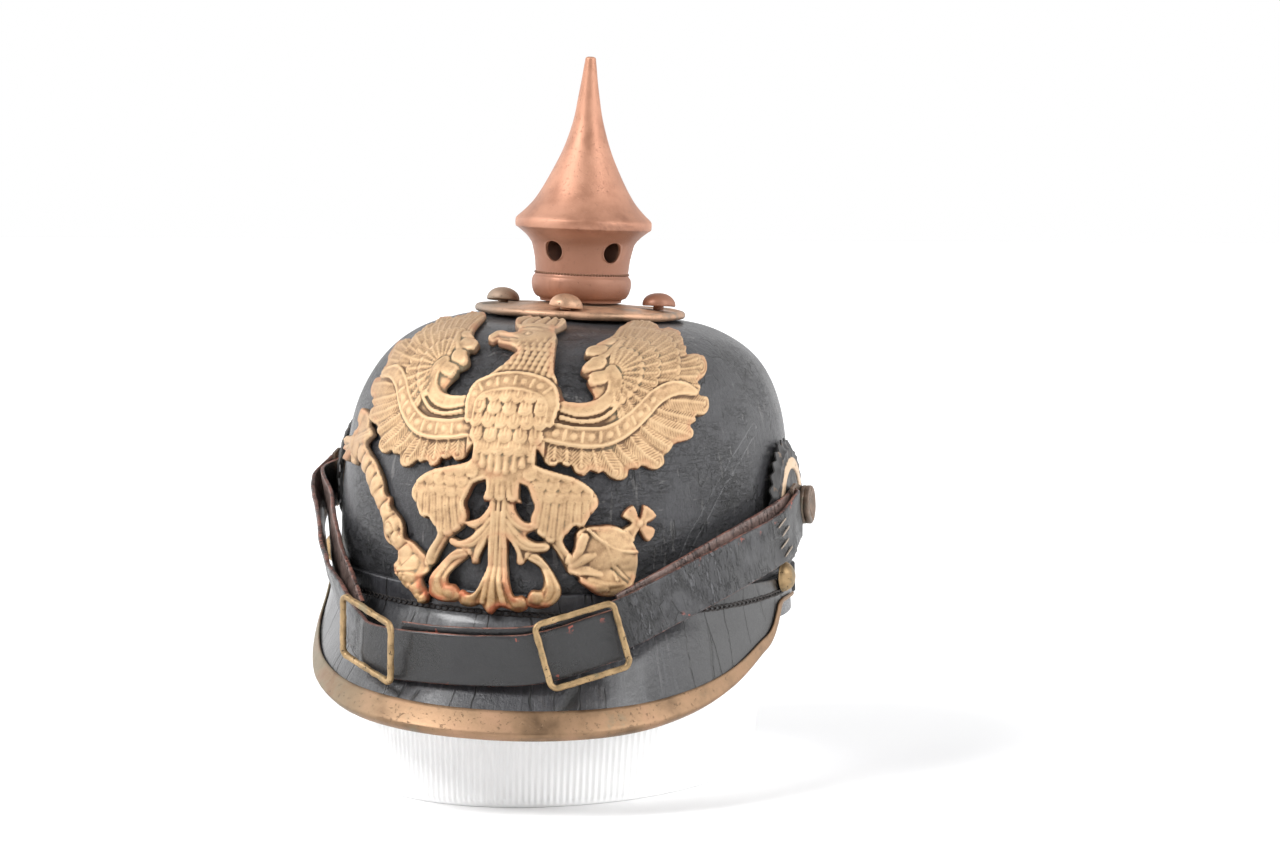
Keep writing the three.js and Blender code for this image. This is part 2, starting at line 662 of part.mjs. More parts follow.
// ---- front plate ---------------------------------------------------------------------------
// Outlines of the spread eagle laid flat on the front of the skull: [across, up] in millimetres,
// the front middle of the brim at the origin. `height` is how far each part stands up; a `twin`
// is repeated on the other side of the middle line, its width scaled by that number.
const PLATE = {
  reach: 112, // arc from brim to crown, per radian of rise
  cell: 8, // size of the facets that follow the skull
  bowl: 0.001, // keeps those facets apart while the parts are joined
  bowlHeight: 60, // the bowl's lowest point, up from the brim
  cutter: { from: -10, depth: 40 }, // prisms that cut the parts out of the facets
  backing: 0.45, // air behind the plate
  lift: 3.2, // the foot of the plate stands this much further out, over the visor's flange
  liftStart: 24,
  liftEnd: 18,
};
const EAGLE = [
  { part: 'wing', height: 2.2, twin: 0.965, outline: [
    [9, 66], [11.5, 62], [13.5, 60], [14.2, 58.6], [16, 57.4], [18, 57.2], [19.5, 58.4], [21, 57.6],
    [22.5, 57.2], [23.6, 57.6], [25, 55.6], [27, 54.7], [28.8, 54.7], [30.4, 56.2], [31.8, 55.9],
    [33.5, 55.4], [35.2, 56], [38, 54], [40.5, 53.3], [42.8, 53.4], [44.5, 54.6], [44.9, 56.8],
    [48, 56.8], [49.8, 57.8], [53.5, 56.6], [56, 56.6], [58.2, 57.6], [59.5, 59.2], [58.8, 60.8],
    [61, 62.4], [62, 64], [64, 64.8], [70, 65.8], [71.4, 67], [71, 69], [69.5, 70.3], [72.3, 71.6],
    [71.4, 73], [75.5, 73.1], [77.8, 74.5], [78.4, 77], [77, 79.4], [72.2, 80.8], [72.8, 83],
    [71, 84.8], [74.6, 87], [76, 89.5], [76, 92], [74.6, 94.8], [72, 96.6], [69.5, 97.5],
    [63.6, 97.6], [63.4, 101], [61.8, 103.4], [60.5, 109.6], [58, 112.8], [55, 114.6], [51.5, 115],
    [48.4, 114.6], [46, 119], [42, 123.4], [38, 126], [33, 126], [29.8, 123], [28, 117], [27.2, 109.6],
    [25, 104.5], [20.3, 100.8], [19.9, 98.5], [20.8, 96.3], [23, 95.5], [20.8, 91.5], [21.3, 89],
    [24.2, 87], [24, 85.5], [27.6, 81], [27.8, 79.6], [24, 78.2], [18, 79], [15, 84], [9, 84],
  ] },
  { part: 'wing ribbon', height: 3.4, twin: 0.965, outline: [
    [12, 66], [15, 64.3], [20, 63.8], [27, 63.3], [33, 63], [38, 64], [43, 67], [48, 71],
    [53, 75.5], [56, 78.5], [60, 80], [65, 80], [69, 79.6], [71, 80.6], [69, 82], [65, 83.8],
    [60, 85.3], [55, 85], [50, 83.3], [46, 80], [42, 76], [38, 72.5], [34, 70.5], [28, 69.8],
    [22, 70], [18, 71], [16, 73.6], [15.6, 80], [13, 84.4], [10, 80], [12, 75],
  ] },
  { part: 'shoulder', height: 3, twin: 0.965, outline: [
    [16.8, 77.5], [17.4, 74.6], [25, 72.3], [32, 73.5], [36, 78], [36.4, 84], [33.6, 88], [31, 94],
    [25, 95.6], [21.4, 92], [22, 89.4], [25, 87.8], [24.8, 85.6], [28.6, 81.4], [28.6, 79.2],
    [26.8, 77.8], [22, 78.2], [18.4, 78.6],
  ] },
  { part: 'breast ribbon', height: 4.8, outline: [
    [-14, 72], [-15, 80], [-13.6, 83.4], [-8, 86.3], [0, 87.5], [8, 86.3], [13.4, 84], [15.6, 80],
    [15.2, 73], [12, 70], [-12, 70],
  ] },
  { part: 'breast', height: 4.2, outline: [
    [-13, 75], [-12.6, 66], [-10.6, 62], [-10.8, 57.4], [-5, 53], [5.6, 52.6], [11.6, 57.8],
    [11.4, 62], [13, 66], [13.4, 75],
  ] },
  { part: 'neck and head', height: 3.6, outline: [
    [-12, 84], [-9, 87.5], [-6.5, 90.5], [-5, 94], [-3.4, 97], [-6.4, 99.6], [-12, 101.4],
    [-12.6, 103], [-14.2, 101.6], [-16.5, 102.3], [-16.8, 105], [-15, 107.4], [-12, 108.2],
    [-7.6, 107.2], [-6.6, 110], [-8.6, 113], [-10.6, 117], [-10.8, 121], [-8, 124], [0, 125],
    [6, 123.6], [8, 120], [7.4, 116], [6, 112.6], [8, 108], [9, 103], [10, 98], [10.8, 94],
    [12, 89], [14.4, 84],
  ] },
  { part: 'thigh', height: 3.8, twin: 1, outline: [
    [9, 60], [12, 57.6], [20, 55.4], [25, 54.2], [29, 52.4], [32, 50.2], [34, 48], [34.4, 45.6],
    [31.4, 41.6], [29.2, 38.2], [27.4, 37.6], [26.4, 38.4], [24, 36], [22.4, 33.4], [26, 28],
    [27.6, 24.6], [24.6, 21.6], [21.4, 27], [18.4, 31.4], [15.6, 33.6], [13, 35.6], [11.3, 38],
    [10.9, 41], [12, 44], [10.8, 47], [9, 50.4], [4, 52.6],
  ] },
  { part: 'tail top', height: 3.2, outline: [
    [-5, 54], [-4.9, 49], [-5.8, 45.2], [-3.5, 45], [-4.5, 42.5], [-7, 39.8], [-10.5, 38.6],
    [-12.5, 38.2], [-11.3, 36.6], [-8.5, 35.2], [-11.5, 32.6], [-14, 31.8], [-17.6, 33],
    [-18, 30.6], [-16, 29], [-11.8, 28], [-10, 26], [-9.5, 23.8], [-7, 24], [-6.3, 26.3], [-5, 29],
    [-2.7, 32], [2.8, 33.3], [5, 31], [6.3, 28], [6.3, 25], [8, 24.3], [10, 26], [11.8, 28.4],
    [16, 29], [18, 30.8], [17.4, 33.4], [15, 33], [13, 33], [9.8, 34.8], [11.6, 36], [14, 37.6],
    [12, 39.2], [9, 39.5], [6.5, 42], [5.5, 45], [7.8, 45.2], [7, 47.5], [6.3, 54],
  ] },
  { part: 'tail shaft', height: 3, outline: [
    [-2.9, 36], [-3.6, 25], [-5, 19], [-7, 15], [-9, 13.6], [-12, 14.8], [-13.8, 12.5],
    [-12.5, 9.5], [-9, 8.7], [-5.4, 10], [-4.4, 8.6], [-2, 6.5], [0, 8.6], [1.6, 9.4], [4, 8.8],
    [7.5, 7.9], [10.3, 9.6], [10.3, 12.5], [8.5, 14.2], [6, 13.8], [4.6, 18], [3.5, 25], [2.9, 36],
  ] },
  { part: 'tail loop', height: 3, outline: [
    [-10.4, 26.6], [-12.4, 29.4], [-16, 28.2], [-20, 24.8], [-23, 20.4], [-24.6, 15.4],
    [-24.5, 12], [-21, 10], [-17, 9.8], [-13.4, 10.6], [-12.6, 13.6], [-14.6, 16.4], [-17, 16.6],
    [-17, 19.5], [-14.5, 23],
  ] },
  { part: 'tail loop', height: 3, outline: [
    [10, 26.6], [12, 29.4], [14.4, 28.4], [17.5, 25], [20, 21], [21.6, 16.5], [20.5, 13],
    [17, 10.2], [13, 9.6], [9.8, 10.8], [10, 13], [11.6, 16.2], [14.8, 16.4], [15.6, 20],
    [14, 24],
  ] },
  { part: 'sceptre', height: 3.2, outline: [
    [-25.2, 9], [-24.8, 12], [-27.4, 17], [-24.8, 20], [-26.8, 24.4], [-30, 26.8], [-34, 29.3],
    [-37.5, 30.5], [-38.8, 35], [-40.5, 37], [-45.5, 40.5], [-46.4, 43], [-48.2, 43.6],
    [-50, 46], [-51.5, 48.8], [-55, 51.8], [-58, 54], [-62.5, 56.2], [-66.3, 58.2], [-64, 60],
    [-61.6, 61.8], [-63.6, 63.6], [-66.6, 64.6], [-68, 66.8], [-71, 68.4], [-75.6, 69.2],
    [-78.6, 67.6], [-78, 65], [-75.4, 63.4], [-79, 61.2], [-85, 59.8], [-90, 59.2], [-93.5, 57.6],
    [-90.4, 55.8], [-92, 54.4], [-87.5, 54], [-89, 51.6], [-84.6, 51.2], [-81.4, 53], [-78, 51.6],
    [-74, 50.8], [-73, 53.4], [-69.6, 52], [-66.5, 49.6], [-62.5, 47.7], [-61, 44.6], [-58.5, 42.3],
    [-55, 40.6], [-54, 38.3], [-51, 37], [-50, 31], [-48.8, 28.8], [-46, 26.8], [-42, 26.3],
    [-40.5, 24.5], [-40.6, 19], [-37, 16], [-35, 13.5], [-31.5, 12], [-30, 9.5], [-28, 8],
  ] },
  { part: 'orb', height: 4.6, outline: [
    [24, 24], [25, 22], [27.3, 20.8], [27.3, 19.6], [30.5, 17], [33, 15.2], [37, 14.4], [41, 15],
    [45.2, 17.2], [46.6, 19.6], [48.6, 22.6], [49.4, 26.6], [49, 30.4], [47.4, 33.4], [43, 38],
    [39, 39.2], [35, 39], [28.5, 38.2], [26.4, 36], [26, 31.5], [24.6, 28],
  ] },
  { part: 'orb cross', height: 2.8, outline: [
    [42, 36], [43.6, 38], [46.6, 39.6], [43, 41.8], [47, 45.6], [48.5, 44], [49.8, 41.4],
    [50.9, 43.4], [51.4, 45.7], [57, 42], [55.4, 40.2], [52.8, 39.1], [55, 38.5], [56.5, 37.5],
    [55.5, 34.5], [53.5, 33.2], [51.2, 35], [49.8, 36.8], [47.6, 33],
  ] },
];

// A flat block of facets, from the back of the plate to `height`.
function facetBlock(height) {
  const [columns, rows] = [25, 18];
  const across = Array.from({ length: columns }, (_, i) => (i - (columns - 1) / 2) * PLATE.cell);
  const up = Array.from({ length: rows }, (_, i) => (i - 0.5) * PLATE.cell);
  const ring = [];
  const bowl = (u, v) => PLATE.bowl * (u * u + (v - PLATE.bowlHeight) ** 2);
  const layer = (depth) => up.flatMap((v) => across.map((u) => V(u, v, depth + bowl(u, v))));
  const points = [...layer(0), ...layer(height)];
  const half = points.length / 2;
  const at = (i, j) => j * columns + i;
  const index = [];
  for (let j = 0; j < rows - 1; j += 1) {
    for (let i = 0; i < columns - 1; i += 1) {
      const [a, b, c, d] = [at(i, j), at(i + 1, j), at(i + 1, j + 1), at(i, j + 1)];
      index.push(a, c, b, a, d, c, a + half, b + half, c + half, a + half, c + half, d + half);
    }
  }
  const [last, top] = [columns - 1, rows - 1];
  for (let i = 0; i < last; i += 1) ring.push([at(i, 0), at(i + 1, 0)]);
  for (let j = 0; j < top; j += 1) ring.push([at(last, j), at(last, j + 1)]);
  for (let i = last; i > 0; i -= 1) ring.push([at(i, top), at(i - 1, top)]);
  for (let j = top; j > 0; j -= 1) ring.push([at(0, j), at(0, j - 1)]);
  for (const [a, b] of ring) index.push(a, b, b + half, a, b + half, a + half);
  const geometry = new THREE.BufferGeometry();
  const flat = points.flatMap((p) => [p.x, p.y, p.z]);
  geometry.setAttribute('position', new THREE.Float32BufferAttribute(flat, 3));
  geometry.setIndex(index);
  return toSolid(geometry);
}

function eaglePlate() {
  const levels = new Map();
  for (const { height, twin, outline } of EAGLE) {
    for (const side of twin ? [1, -twin] : [1]) {
      const shape = new THREE.Shape(outline.map(([u, v]) => new THREE.Vector2(side * u, v)));
      const prism = new THREE.ExtrudeGeometry(shape, { depth: PLATE.cutter.depth, bevelEnabled: false });
      prism.translate(0, 0, PLATE.cutter.from);
      const solid = toSolid(prism);
      levels.set(height, levels.has(height) ? levels.get(height).add(solid) : solid);
    }
  }
  let plate = null;
  for (const [height, solid] of levels) {
    const part = facetBlock(height).intersect(solid);
    plate = plate ? plate.add(part) : part;
  }
  const geometry = toGeometry(plate);
  const position = geometry.getAttribute('position');
  const front = SKULL.halfLength;
  for (let i = 0; i < position.count; i += 1) {
    const [u, v] = [position.getX(i), position.getY(i)];
    const depth = position.getZ(i) - PLATE.bowl * (u * u + (v - PLATE.bowlHeight) ** 2);
    const rise = v / PLATE.reach;
    const [c, s] = [Math.cos(rise), Math.sin(rise)];
    const scale = (c ** SKULL.frontPower + s ** SKULL.frontPower) ** (-1 / SKULL.frontPower);
    const lift = PLATE.lift * (1 - THREE.MathUtils.smoothstep(v, PLATE.liftEnd, PLATE.liftStart));
    const p = skullPoint(u / (front * c * scale), rise, PLATE.backing + lift + depth);
    position.setXYZ(i, p.x, p.y, p.z);
  }
  return geometry;
}

// ---- the stand -----------------------------------------------------------------------------
// Ovals of the stand from the floor up: half width, half length and height.
const STAND_OVALS = [
  { halfWidth: 70.5, halfLength: 105, height: 0 },
  { halfWidth: 71.5, halfLength: 106, height: 2 },
  { halfWidth: 74.5, halfLength: 106, height: 30 },
  { halfWidth: 74, halfLength: 98, height: 60 },
  { halfWidth: 73, halfLength: 92, height: 90 },
];
// Its crown inside the skull: height above the brim and room left all round.
const STAND_CROWN = [{ height: 66, inset: 2.4 }, { height: 76, inset: 1.2 }];

function stand() {
  const around = 48;
  const rings = STAND_OVALS.map((row) => Array.from({ length: around }, (_, i) => {
    const t = (2 * Math.PI * i) / around;
    return V(row.halfWidth * Math.sin(t), -row.halfLength * Math.cos(t), row.height);
  }));
  const crown = helmetMatrix();
  for (const { height, inset } of STAND_CROWN) {
    rings.push(Array.from({ length: around }, (_, i) => {
      const t = (2 * Math.PI * i) / around;
      const radius = skullRadius(t, height) - SKULL.wall - inset;
      return axial(t, radius, height).applyMatrix4(crown);
    }));
  }
  return loft(rings);
}

const helmetMatrix = () => new THREE.Matrix4().makeRotationY(LEAN).setPosition(SEAT);

// ---- assembly ------------------------------------------------------------------------------
const finish = (color, roughness, metalness) =>
  new THREE.MeshStandardMaterial({ color, roughness, metalness, side: THREE.DoubleSide });
const LEATHER = finish(0x1b1b1d, 0.45, 0);
const BRASS = finish(0xa08250, 0.5, 0.9);
const GILT = finish(0xc79a55, 0.5, 0.9);
const COPPER = finish(0xb57a60, 0.55, 0.85);
const BLACK = finish(0x151515, 0.5, 0.2);
const STEEL = finish(0x8b8378, 0.45, 0.9);
const WHITE = finish(0xe9e9ea, 0.9, 0);

const helmet = new THREE.Group();
helmet.rotation.y = LEAN;
helmet.position.copy(SEAT);

function add(parent, name, geometry, material) {
  const mesh = new THREE.Mesh(geometry, material);
  mesh.name = name;
  parent.add(mesh);
}

add(helmet, 'skull', skull(), LEATHER);
add(helmet, 'front_visor', visor(FRONT_EDGE, false), LEATHER);
add(helmet, 'rear_visor', visor(REAR_EDGE, true), LEATHER);
add(helmet, 'visor_trim', visorTrim(), BRASS);
add(helmet, 'rear_spine', rearSpine(), BRASS);
add(helmet, 'spike', spike(), COPPER);
add(helmet, 'spike_base', spikeBase(), BRASS);
['front', 'left', 'rear', 'right'].forEach((name, i) => {
  add(helmet, `plate_stud_${name}`, stud(90 * i), COPPER);
});
for (const side of [1, -1]) {
  const name = sideName(side);
  add(helmet, `cockade_${name}`, cockade(side), BLACK);
  add(helmet, `side_post_${name}`, sidePost(side), STEEL);
  add(helmet, `strap_lug_${name}`, strapLug(side), BRASS);
  add(helmet, `visor_rivet_${name}`, visorRivet(side), BRASS);
  add(helmet, `strap_${name}`, strap(side), LEATHER);
}
const leftBuckle = buckle(V(34.1, -122.7, -0.2), V(0.877, 0.373, 0.302), V(-0.314, -0.057, 0.947));
const rightBuckle = buckle(V(-43.6, -119.6, -3.7), V(0.782, -0.569, -0.249), V(0.069, -0.329, 0.941));
add(helmet, 'buckle_left', leftBuckle, BRASS);
add(helmet, 'buckle_right', rightBuckle, BRASS);
add(helmet, 'eagle_plate', eaglePlate(), GILT);

const model = new THREE.Group();
model.add(helmet);
add(model, 'stand', stand(), WHITE);

export default model;
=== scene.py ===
# A pressed-leather spiked helmet on its plain oval stand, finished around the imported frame.
# Shapes are worked out in millimetres on the helmet's own axes: the origin is the middle of the
# brim, +Z runs up the crown, the front faces -Y and +X is the wearer's left.
import math

import bmesh
import bpy
import numpy as np
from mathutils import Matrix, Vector


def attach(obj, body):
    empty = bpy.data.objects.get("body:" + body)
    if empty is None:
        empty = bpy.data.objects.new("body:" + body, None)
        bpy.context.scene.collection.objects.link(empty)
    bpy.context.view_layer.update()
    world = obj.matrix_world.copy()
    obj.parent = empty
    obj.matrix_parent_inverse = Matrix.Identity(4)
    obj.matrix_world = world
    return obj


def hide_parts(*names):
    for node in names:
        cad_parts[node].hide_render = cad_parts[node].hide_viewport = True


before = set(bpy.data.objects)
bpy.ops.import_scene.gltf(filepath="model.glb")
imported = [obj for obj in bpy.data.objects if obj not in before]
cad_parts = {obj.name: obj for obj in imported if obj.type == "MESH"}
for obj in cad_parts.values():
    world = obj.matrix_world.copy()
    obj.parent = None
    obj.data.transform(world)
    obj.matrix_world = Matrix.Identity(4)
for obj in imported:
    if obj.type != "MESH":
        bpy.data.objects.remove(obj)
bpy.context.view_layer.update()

# ---- sizes shared by several pieces ---------------------------------------------------------
MM = 0.001
LEAN = math.radians(2.5)  # the helmet leans towards +X on its stand
SEAT = np.array([4.0, 0.0, 62.0])  # middle of the brim above the floor
GAP = 0.3  # least air between neighbouring pieces

HALF_WIDTH, HALF_LENGTH, HEIGHT = 83.2, 103.0, 107.3  # the skull
FRONT_POWER, SIDE_POWER = 3.5, 4.1  # superellipse powers of its upright sections
BULGE = 2.2  # how far it leans towards -X at half height
SKULL_WALL = 2.4

VISOR_WALL = 2.6
STITCH_HEIGHT, STITCH_RISE = 6.5, 4.5  # stitch line at the front, and its climb to the sides
FLANGE, FLANGE_TAPER = 7.5, 0.32
STRAP_WIDTH, STRAP_WALL = 18.0, 1.6


# ---- arrays into meshes ---------------------------------------------------------------------
def to_world(points):
    """Helmet axes to the frame: turned by LEAN about Y, moved to the seat, in metres."""
    c, s = math.cos(LEAN), math.sin(LEAN)
    x, y, z = np.moveaxis(np.asarray(points, float), -1, 0)
    return (np.stack([x * c + z * s, y, z * c - x * s], -1) + SEAT) * MM


def lengths(points, axis, wrap):
    """Distance run along an axis of a grid of points, averaged over the other axis."""
    if wrap:
        points = np.concatenate([points, np.take(points, [0], axis)], axis)
    steps = np.linalg.norm(np.diff(points, axis=axis), axis=-1).mean(axis=1 - axis)
    return np.concatenate([[0.0], np.cumsum(steps)])


class Shape:
    """Closed surfaces joined into one piece: points, faces, and a flat map of every corner."""

    def __init__(self):
        self.points, self.faces, self.flat, self.values = [], [], [], {}
        self.count = 0

    def grid(self, points, wrap=(False, True), ends="flat", **values):
        """A rows x columns grid of points as quads; wrap joins a direction to its start. Open
        ends get a flat face, or close on a point. values are numbers carried by the points."""
        rows, columns = points.shape[:2]
        i = np.arange(rows if wrap[0] else rows - 1)[:, None]
        j = np.arange(columns if wrap[1] else columns - 1)[None, :]
        corners = [(i, j), (i, j + 1), (i + 1, j + 1), (i + 1, j)]
        quads = np.stack([(a % rows) * columns + b % columns for a, b in corners], -1).reshape(-1, 4)
        along, across = lengths(points, 0, wrap[0]), lengths(points, 1, wrap[1])
        maps = [np.broadcast_arrays(along[a], across[b]) for a, b in corners]
        flat = np.stack([np.stack(m, -1) for m in maps], 2).reshape(-1, 4, 2)
        flat_points = points.reshape(-1, 3)
        faces, flats = quads.tolist(), flat.tolist()
        last = (rows - 1) * columns
        if not wrap[0] and ends == "flat":
            faces += [list(range(columns))[::-1], list(range(last, last + columns))]
            flats += [[[0.0, a] for a in across[:columns]]] * 2
        if not wrap[0] and ends == "point":
            tips = np.stack([points[0].mean(0), points[-1].mean(0)])
            flat_points = np.concatenate([flat_points, tips])
            for tip, start, order in ((last + columns, 0, 1), (last + columns + 1, last, -1)):
                ring = np.arange(columns)
                fan = np.stack([np.full(columns, tip), start + (ring + 1) % columns, start + ring], -1)
                faces += fan[:, ::order].tolist()
                flats += [[[0.0, 0.0]] * 3] * columns
        if signed_volume(flat_points, faces) < 0:
            faces = [face[::-1] for face in faces]
            flats = [corner[::-1] for corner in flats]
        self.faces += [[k + self.count for k in face] for face in faces]
        self.flat += flats
        self.points.append(flat_points)
        for key, value in values.items():
            value = np.broadcast_to(value, (rows, columns)).reshape(-1)
            extra = len(flat_points) - len(value)
            self.values.setdefault(key, []).append(np.concatenate([value, np.full(extra, value[-1])]))
        self.count += len(flat_points)
        return self

    def make(self, name, material, slot, *stands_for, sharp=None, world=False):
        """The piece as an object, riding on the one body and standing for its CAD nodes."""
        points = np.concatenate(self.points)
        mesh = bpy.data.meshes.new(name)
        mesh.from_pydata(points * MM if world else to_world(points), [], self.faces)
        flat = np.array([c for corner in self.flat for c in corner], float) * MM
        mesh.uv_layers.new(name="flat").uv.foreach_set("vector", flat.ravel())
        for key, parts in self.values.items():
            layer = mesh.attributes.new(key, "FLOAT", "POINT")
            layer.data.foreach_set("value", np.concatenate(parts))
        return place(name, mesh, material, slot, *stands_for, sharp=sharp)


def signed_volume(points, faces):
    """Six times the volume enclosed by the faces, as fans of triangles about their first corner."""
    total = 0.0
    by_size = {}
    for face in faces:
        by_size.setdefault(len(face), []).append(face)
    for size, group in by_size.items():
        p = points[np.array(group)]
        for k in range(1, size - 1):
            total += np.einsum("ij,ij->", p[:, 0], np.cross(p[:, k], p[:, k + 1]))
    return total


def place(name, mesh, material, slot, *stands_for, sharp=None):
    """A mesh as a piece: shaded smooth up to an angle and riding on the body. slot is not used."""
    mesh.shade_smooth()
    if sharp is not None:
        mesh.set_sharp_from_angle(angle=math.radians(sharp))
    mesh.materials.append(material)
    piece = bpy.data.objects.new(name, mesh)
    bpy.context.scene.collection.objects.link(piece)
    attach(piece, "root")
    if stands_for:
        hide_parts(*stands_for)
    return piece


def waves(points, size, seed, count=20):
    """Soft lumps between about -1 and 1: the mean of plane waves about `size` long, whose
    directions and phases come from a seeded draw."""
    draw = np.random.default_rng(seed)
    directions = draw.normal(size=(count, 3))
    directions /= np.linalg.norm(directions, axis=1)[:, None]
    pitch = 2 * np.pi / (size * draw.uniform(0.7, 1.5, count))
    phase = draw.uniform(0, 2 * np.pi, count)
    total = np.zeros(points.shape[:-1])
    for direction, k, shift in zip(directions, pitch, phase):
        total += np.sin(points @ direction * k + shift)
    return total / math.sqrt(count)


def smooth_path(points, pieces):
    """Centripetal Catmull-Rom curve through points, each span cut into equal pieces."""
    p = np.asarray(points, float)
    p = np.concatenate([[2 * p[0] - p[1]], p, [2 * p[-1] - p[-2]]])
    knots = np.concatenate([[0], np.cumsum(np.linalg.norm(np.diff(p[:, :3], axis=0), axis=1) ** 0.5)])
    spans = len(p) - 3
    where = np.linspace(0, spans, spans * pieces + 1)
    i = np.minimum(where.astype(int), spans - 1)
    t0, t1, t2, t3 = (knots[i + k][:, None] for k in range(4))
    t = t1 + (where - i)[:, None] * (t2 - t1)
    a1 = (t1 - t) / (t1 - t0) * p[i] + (t - t0) / (t1 - t0) * p[i + 1]
    a2 = (t2 - t) / (t2 - t1) * p[i + 1] + (t - t1) / (t2 - t1) * p[i + 2]
    a3 = (t3 - t) / (t3 - t2) * p[i + 2] + (t - t2) / (t3 - t2) * p[i + 3]
    b1 = (t2 - t) / (t2 - t0) * a1 + (t - t0) / (t2 - t0) * a2
    b2 = (t3 - t) / (t3 - t1) * a2 + (t - t1) / (t3 - t1) * a3
    return (t2 - t) / (t2 - t1) * b1 + (t - t1) / (t2 - t1) * b2


def run_along(line):
    """Distance run along a line of points, from 0."""
    return np.concatenate([[0], np.cumsum(np.linalg.norm(np.diff(line, axis=0), axis=1))])


def between(where, marks, rows):
    """Rows of numbers that stand at marks, read anywhere between them."""
    return np.stack([np.interp(where, marks, rows[:, k]) for k in range(rows.shape[1])], -1)


def circle(count):
    """Angles all round, without the last one that would repeat the first."""
    return np.linspace(0, 2 * np.pi, count, endpoint=False)


def spun(radius, angle, height):
    """Points by their distance from Z, their turn about it and their height."""
    return np.stack(np.broadcast_arrays(radius * np.cos(angle), radius * np.sin(angle), height), -1)


def table(names, *rows):
    """Rows of numbers under the names of their columns."""
    return [dict(zip(names.split(), row)) for row in rows]


def unit(vectors):
    """Vectors made one long."""
    return vectors / np.linalg.norm(vectors, axis=-1, keepdims=True)


def smoothstep(low, high, value):
    """From 0 at low to 1 at high by 3 s^2 - 2 s^3."""
    s = np.clip((value - low) / (high - low), 0, 1)
    return s * s * (3 - 2 * s)


def column(rows, key, at, name):
    """A column of a table read at values of its key column, on a smooth monotone-ish curve."""
    x = np.array([row[key] for row in rows], float)
    y = np.array([row[name] for row in rows], float)
    slope = np.gradient(y, x)
    slope[0] = 0
    at = np.clip(at, x[0], x[-1])
    i = np.clip(np.searchsorted(x, at, side="right") - 1, 0, len(x) - 2)
    h = x[i + 1] - x[i]
    s = (at - x[i]) / h
    a, b = (1 - s) ** 2, s ** 2
    return (a * (1 + 2 * s) * y[i] + a * s * h * slope[i]
            + b * (3 - 2 * s) * y[i + 1] - b * (1 - s) * h * slope[i + 1])


# ---- the skull's surface, which everything on it follows ------------------------------------
def bulge_at(height):
    """How far the old leather leans towards -X."""
    return BULGE * np.sin(np.pi * np.clip(height / HEIGHT, 0, 1))


def axial(turn, radius, height):
    """A point by its turn from the front towards +X, its distance from the axis, its height."""
    x = radius * np.sin(turn) - bulge_at(height)
    return np.stack(np.broadcast_arrays(x, -radius * np.cos(turn), height), -1)


def skull_power(turn):
    """Superellipse power of the upright section at a turn."""
    return SIDE_POWER * np.sin(turn) ** 2 + FRONT_POWER * np.cos(turn) ** 2


def skull_across(turn):
    """One over the radius of the brim's oval at a turn."""
    return np.hypot(np.sin(turn) / HALF_WIDTH, np.cos(turn) / HALF_LENGTH)


def skull_point(turn, rise, outside=0.0):
    """Superellipse sections turned about an oval: with n the power at this turn, the radius is
    cos(rise) k / across and the height HEIGHT sin(rise) k, where k = (cos^n + sin^n)^(-1/n).
    outside moves the point along the surface's normal."""
    def on_skin(t, r):
        c, s = np.maximum(np.cos(r), 0), np.maximum(np.sin(r), 0)
        n = skull_power(t)
        k = (c ** n + s ** n) ** (-1 / n)
        return axial(t, c * k / skull_across(t), HEIGHT * s * k)
    step = 1e-3
    turn, rise = np.broadcast_arrays(np.asarray(turn, float), np.asarray(rise, float))
    r = np.minimum(rise, np.pi / 2 - 2 * step)
    along_turn = on_skin(turn + step, r) - on_skin(turn - step, r)
    along_rise = on_skin(turn, r + step) - on_skin(turn, np.maximum(r - step, 0))
    normal = unit(np.cross(along_turn, along_rise))
    return on_skin(turn, rise) + normal * np.asarray(outside)[..., None]


def skull_radius(turn, height):
    """Outer radius at a height above the brim: (1 - (z/H)^n)^(1/n) / across."""
    n = skull_power(turn)
    share = np.clip(height / HEIGHT, 0, 1)
    return (1 - share ** n) ** (1 / n) / skull_across(turn)


def skull_frame(turn, height):
    """A place on the skull's outside and its normal."""
    def at(t, z):
        return axial(t, skull_radius(t, z), z)
    up = at(turn, height + 1) - at(turn, height - 1)
    side = at(turn + 0.01, height) - at(turn - 0.01, height)
    return at(turn, height), unit(np.cross(side, up))


def place_on(points, middle, normal, along):
    """Points built round +Z, turned so that Z follows the normal and X follows along."""
    x = unit(along - normal * (along @ normal))
    return middle + points @ np.stack([x, np.cross(normal, x), normal])


# ---- finishes -------------------------------------------------------------------------------
def tone(red, green, blue):
    """A display colour, 0 to 255, as the shader's linear numbers."""
    c = np.array([red, green, blue]) / 255
    return (*np.where(c <= 0.04045, c / 12.92, ((c + 0.055) / 1.055) ** 2.4), 1.0)


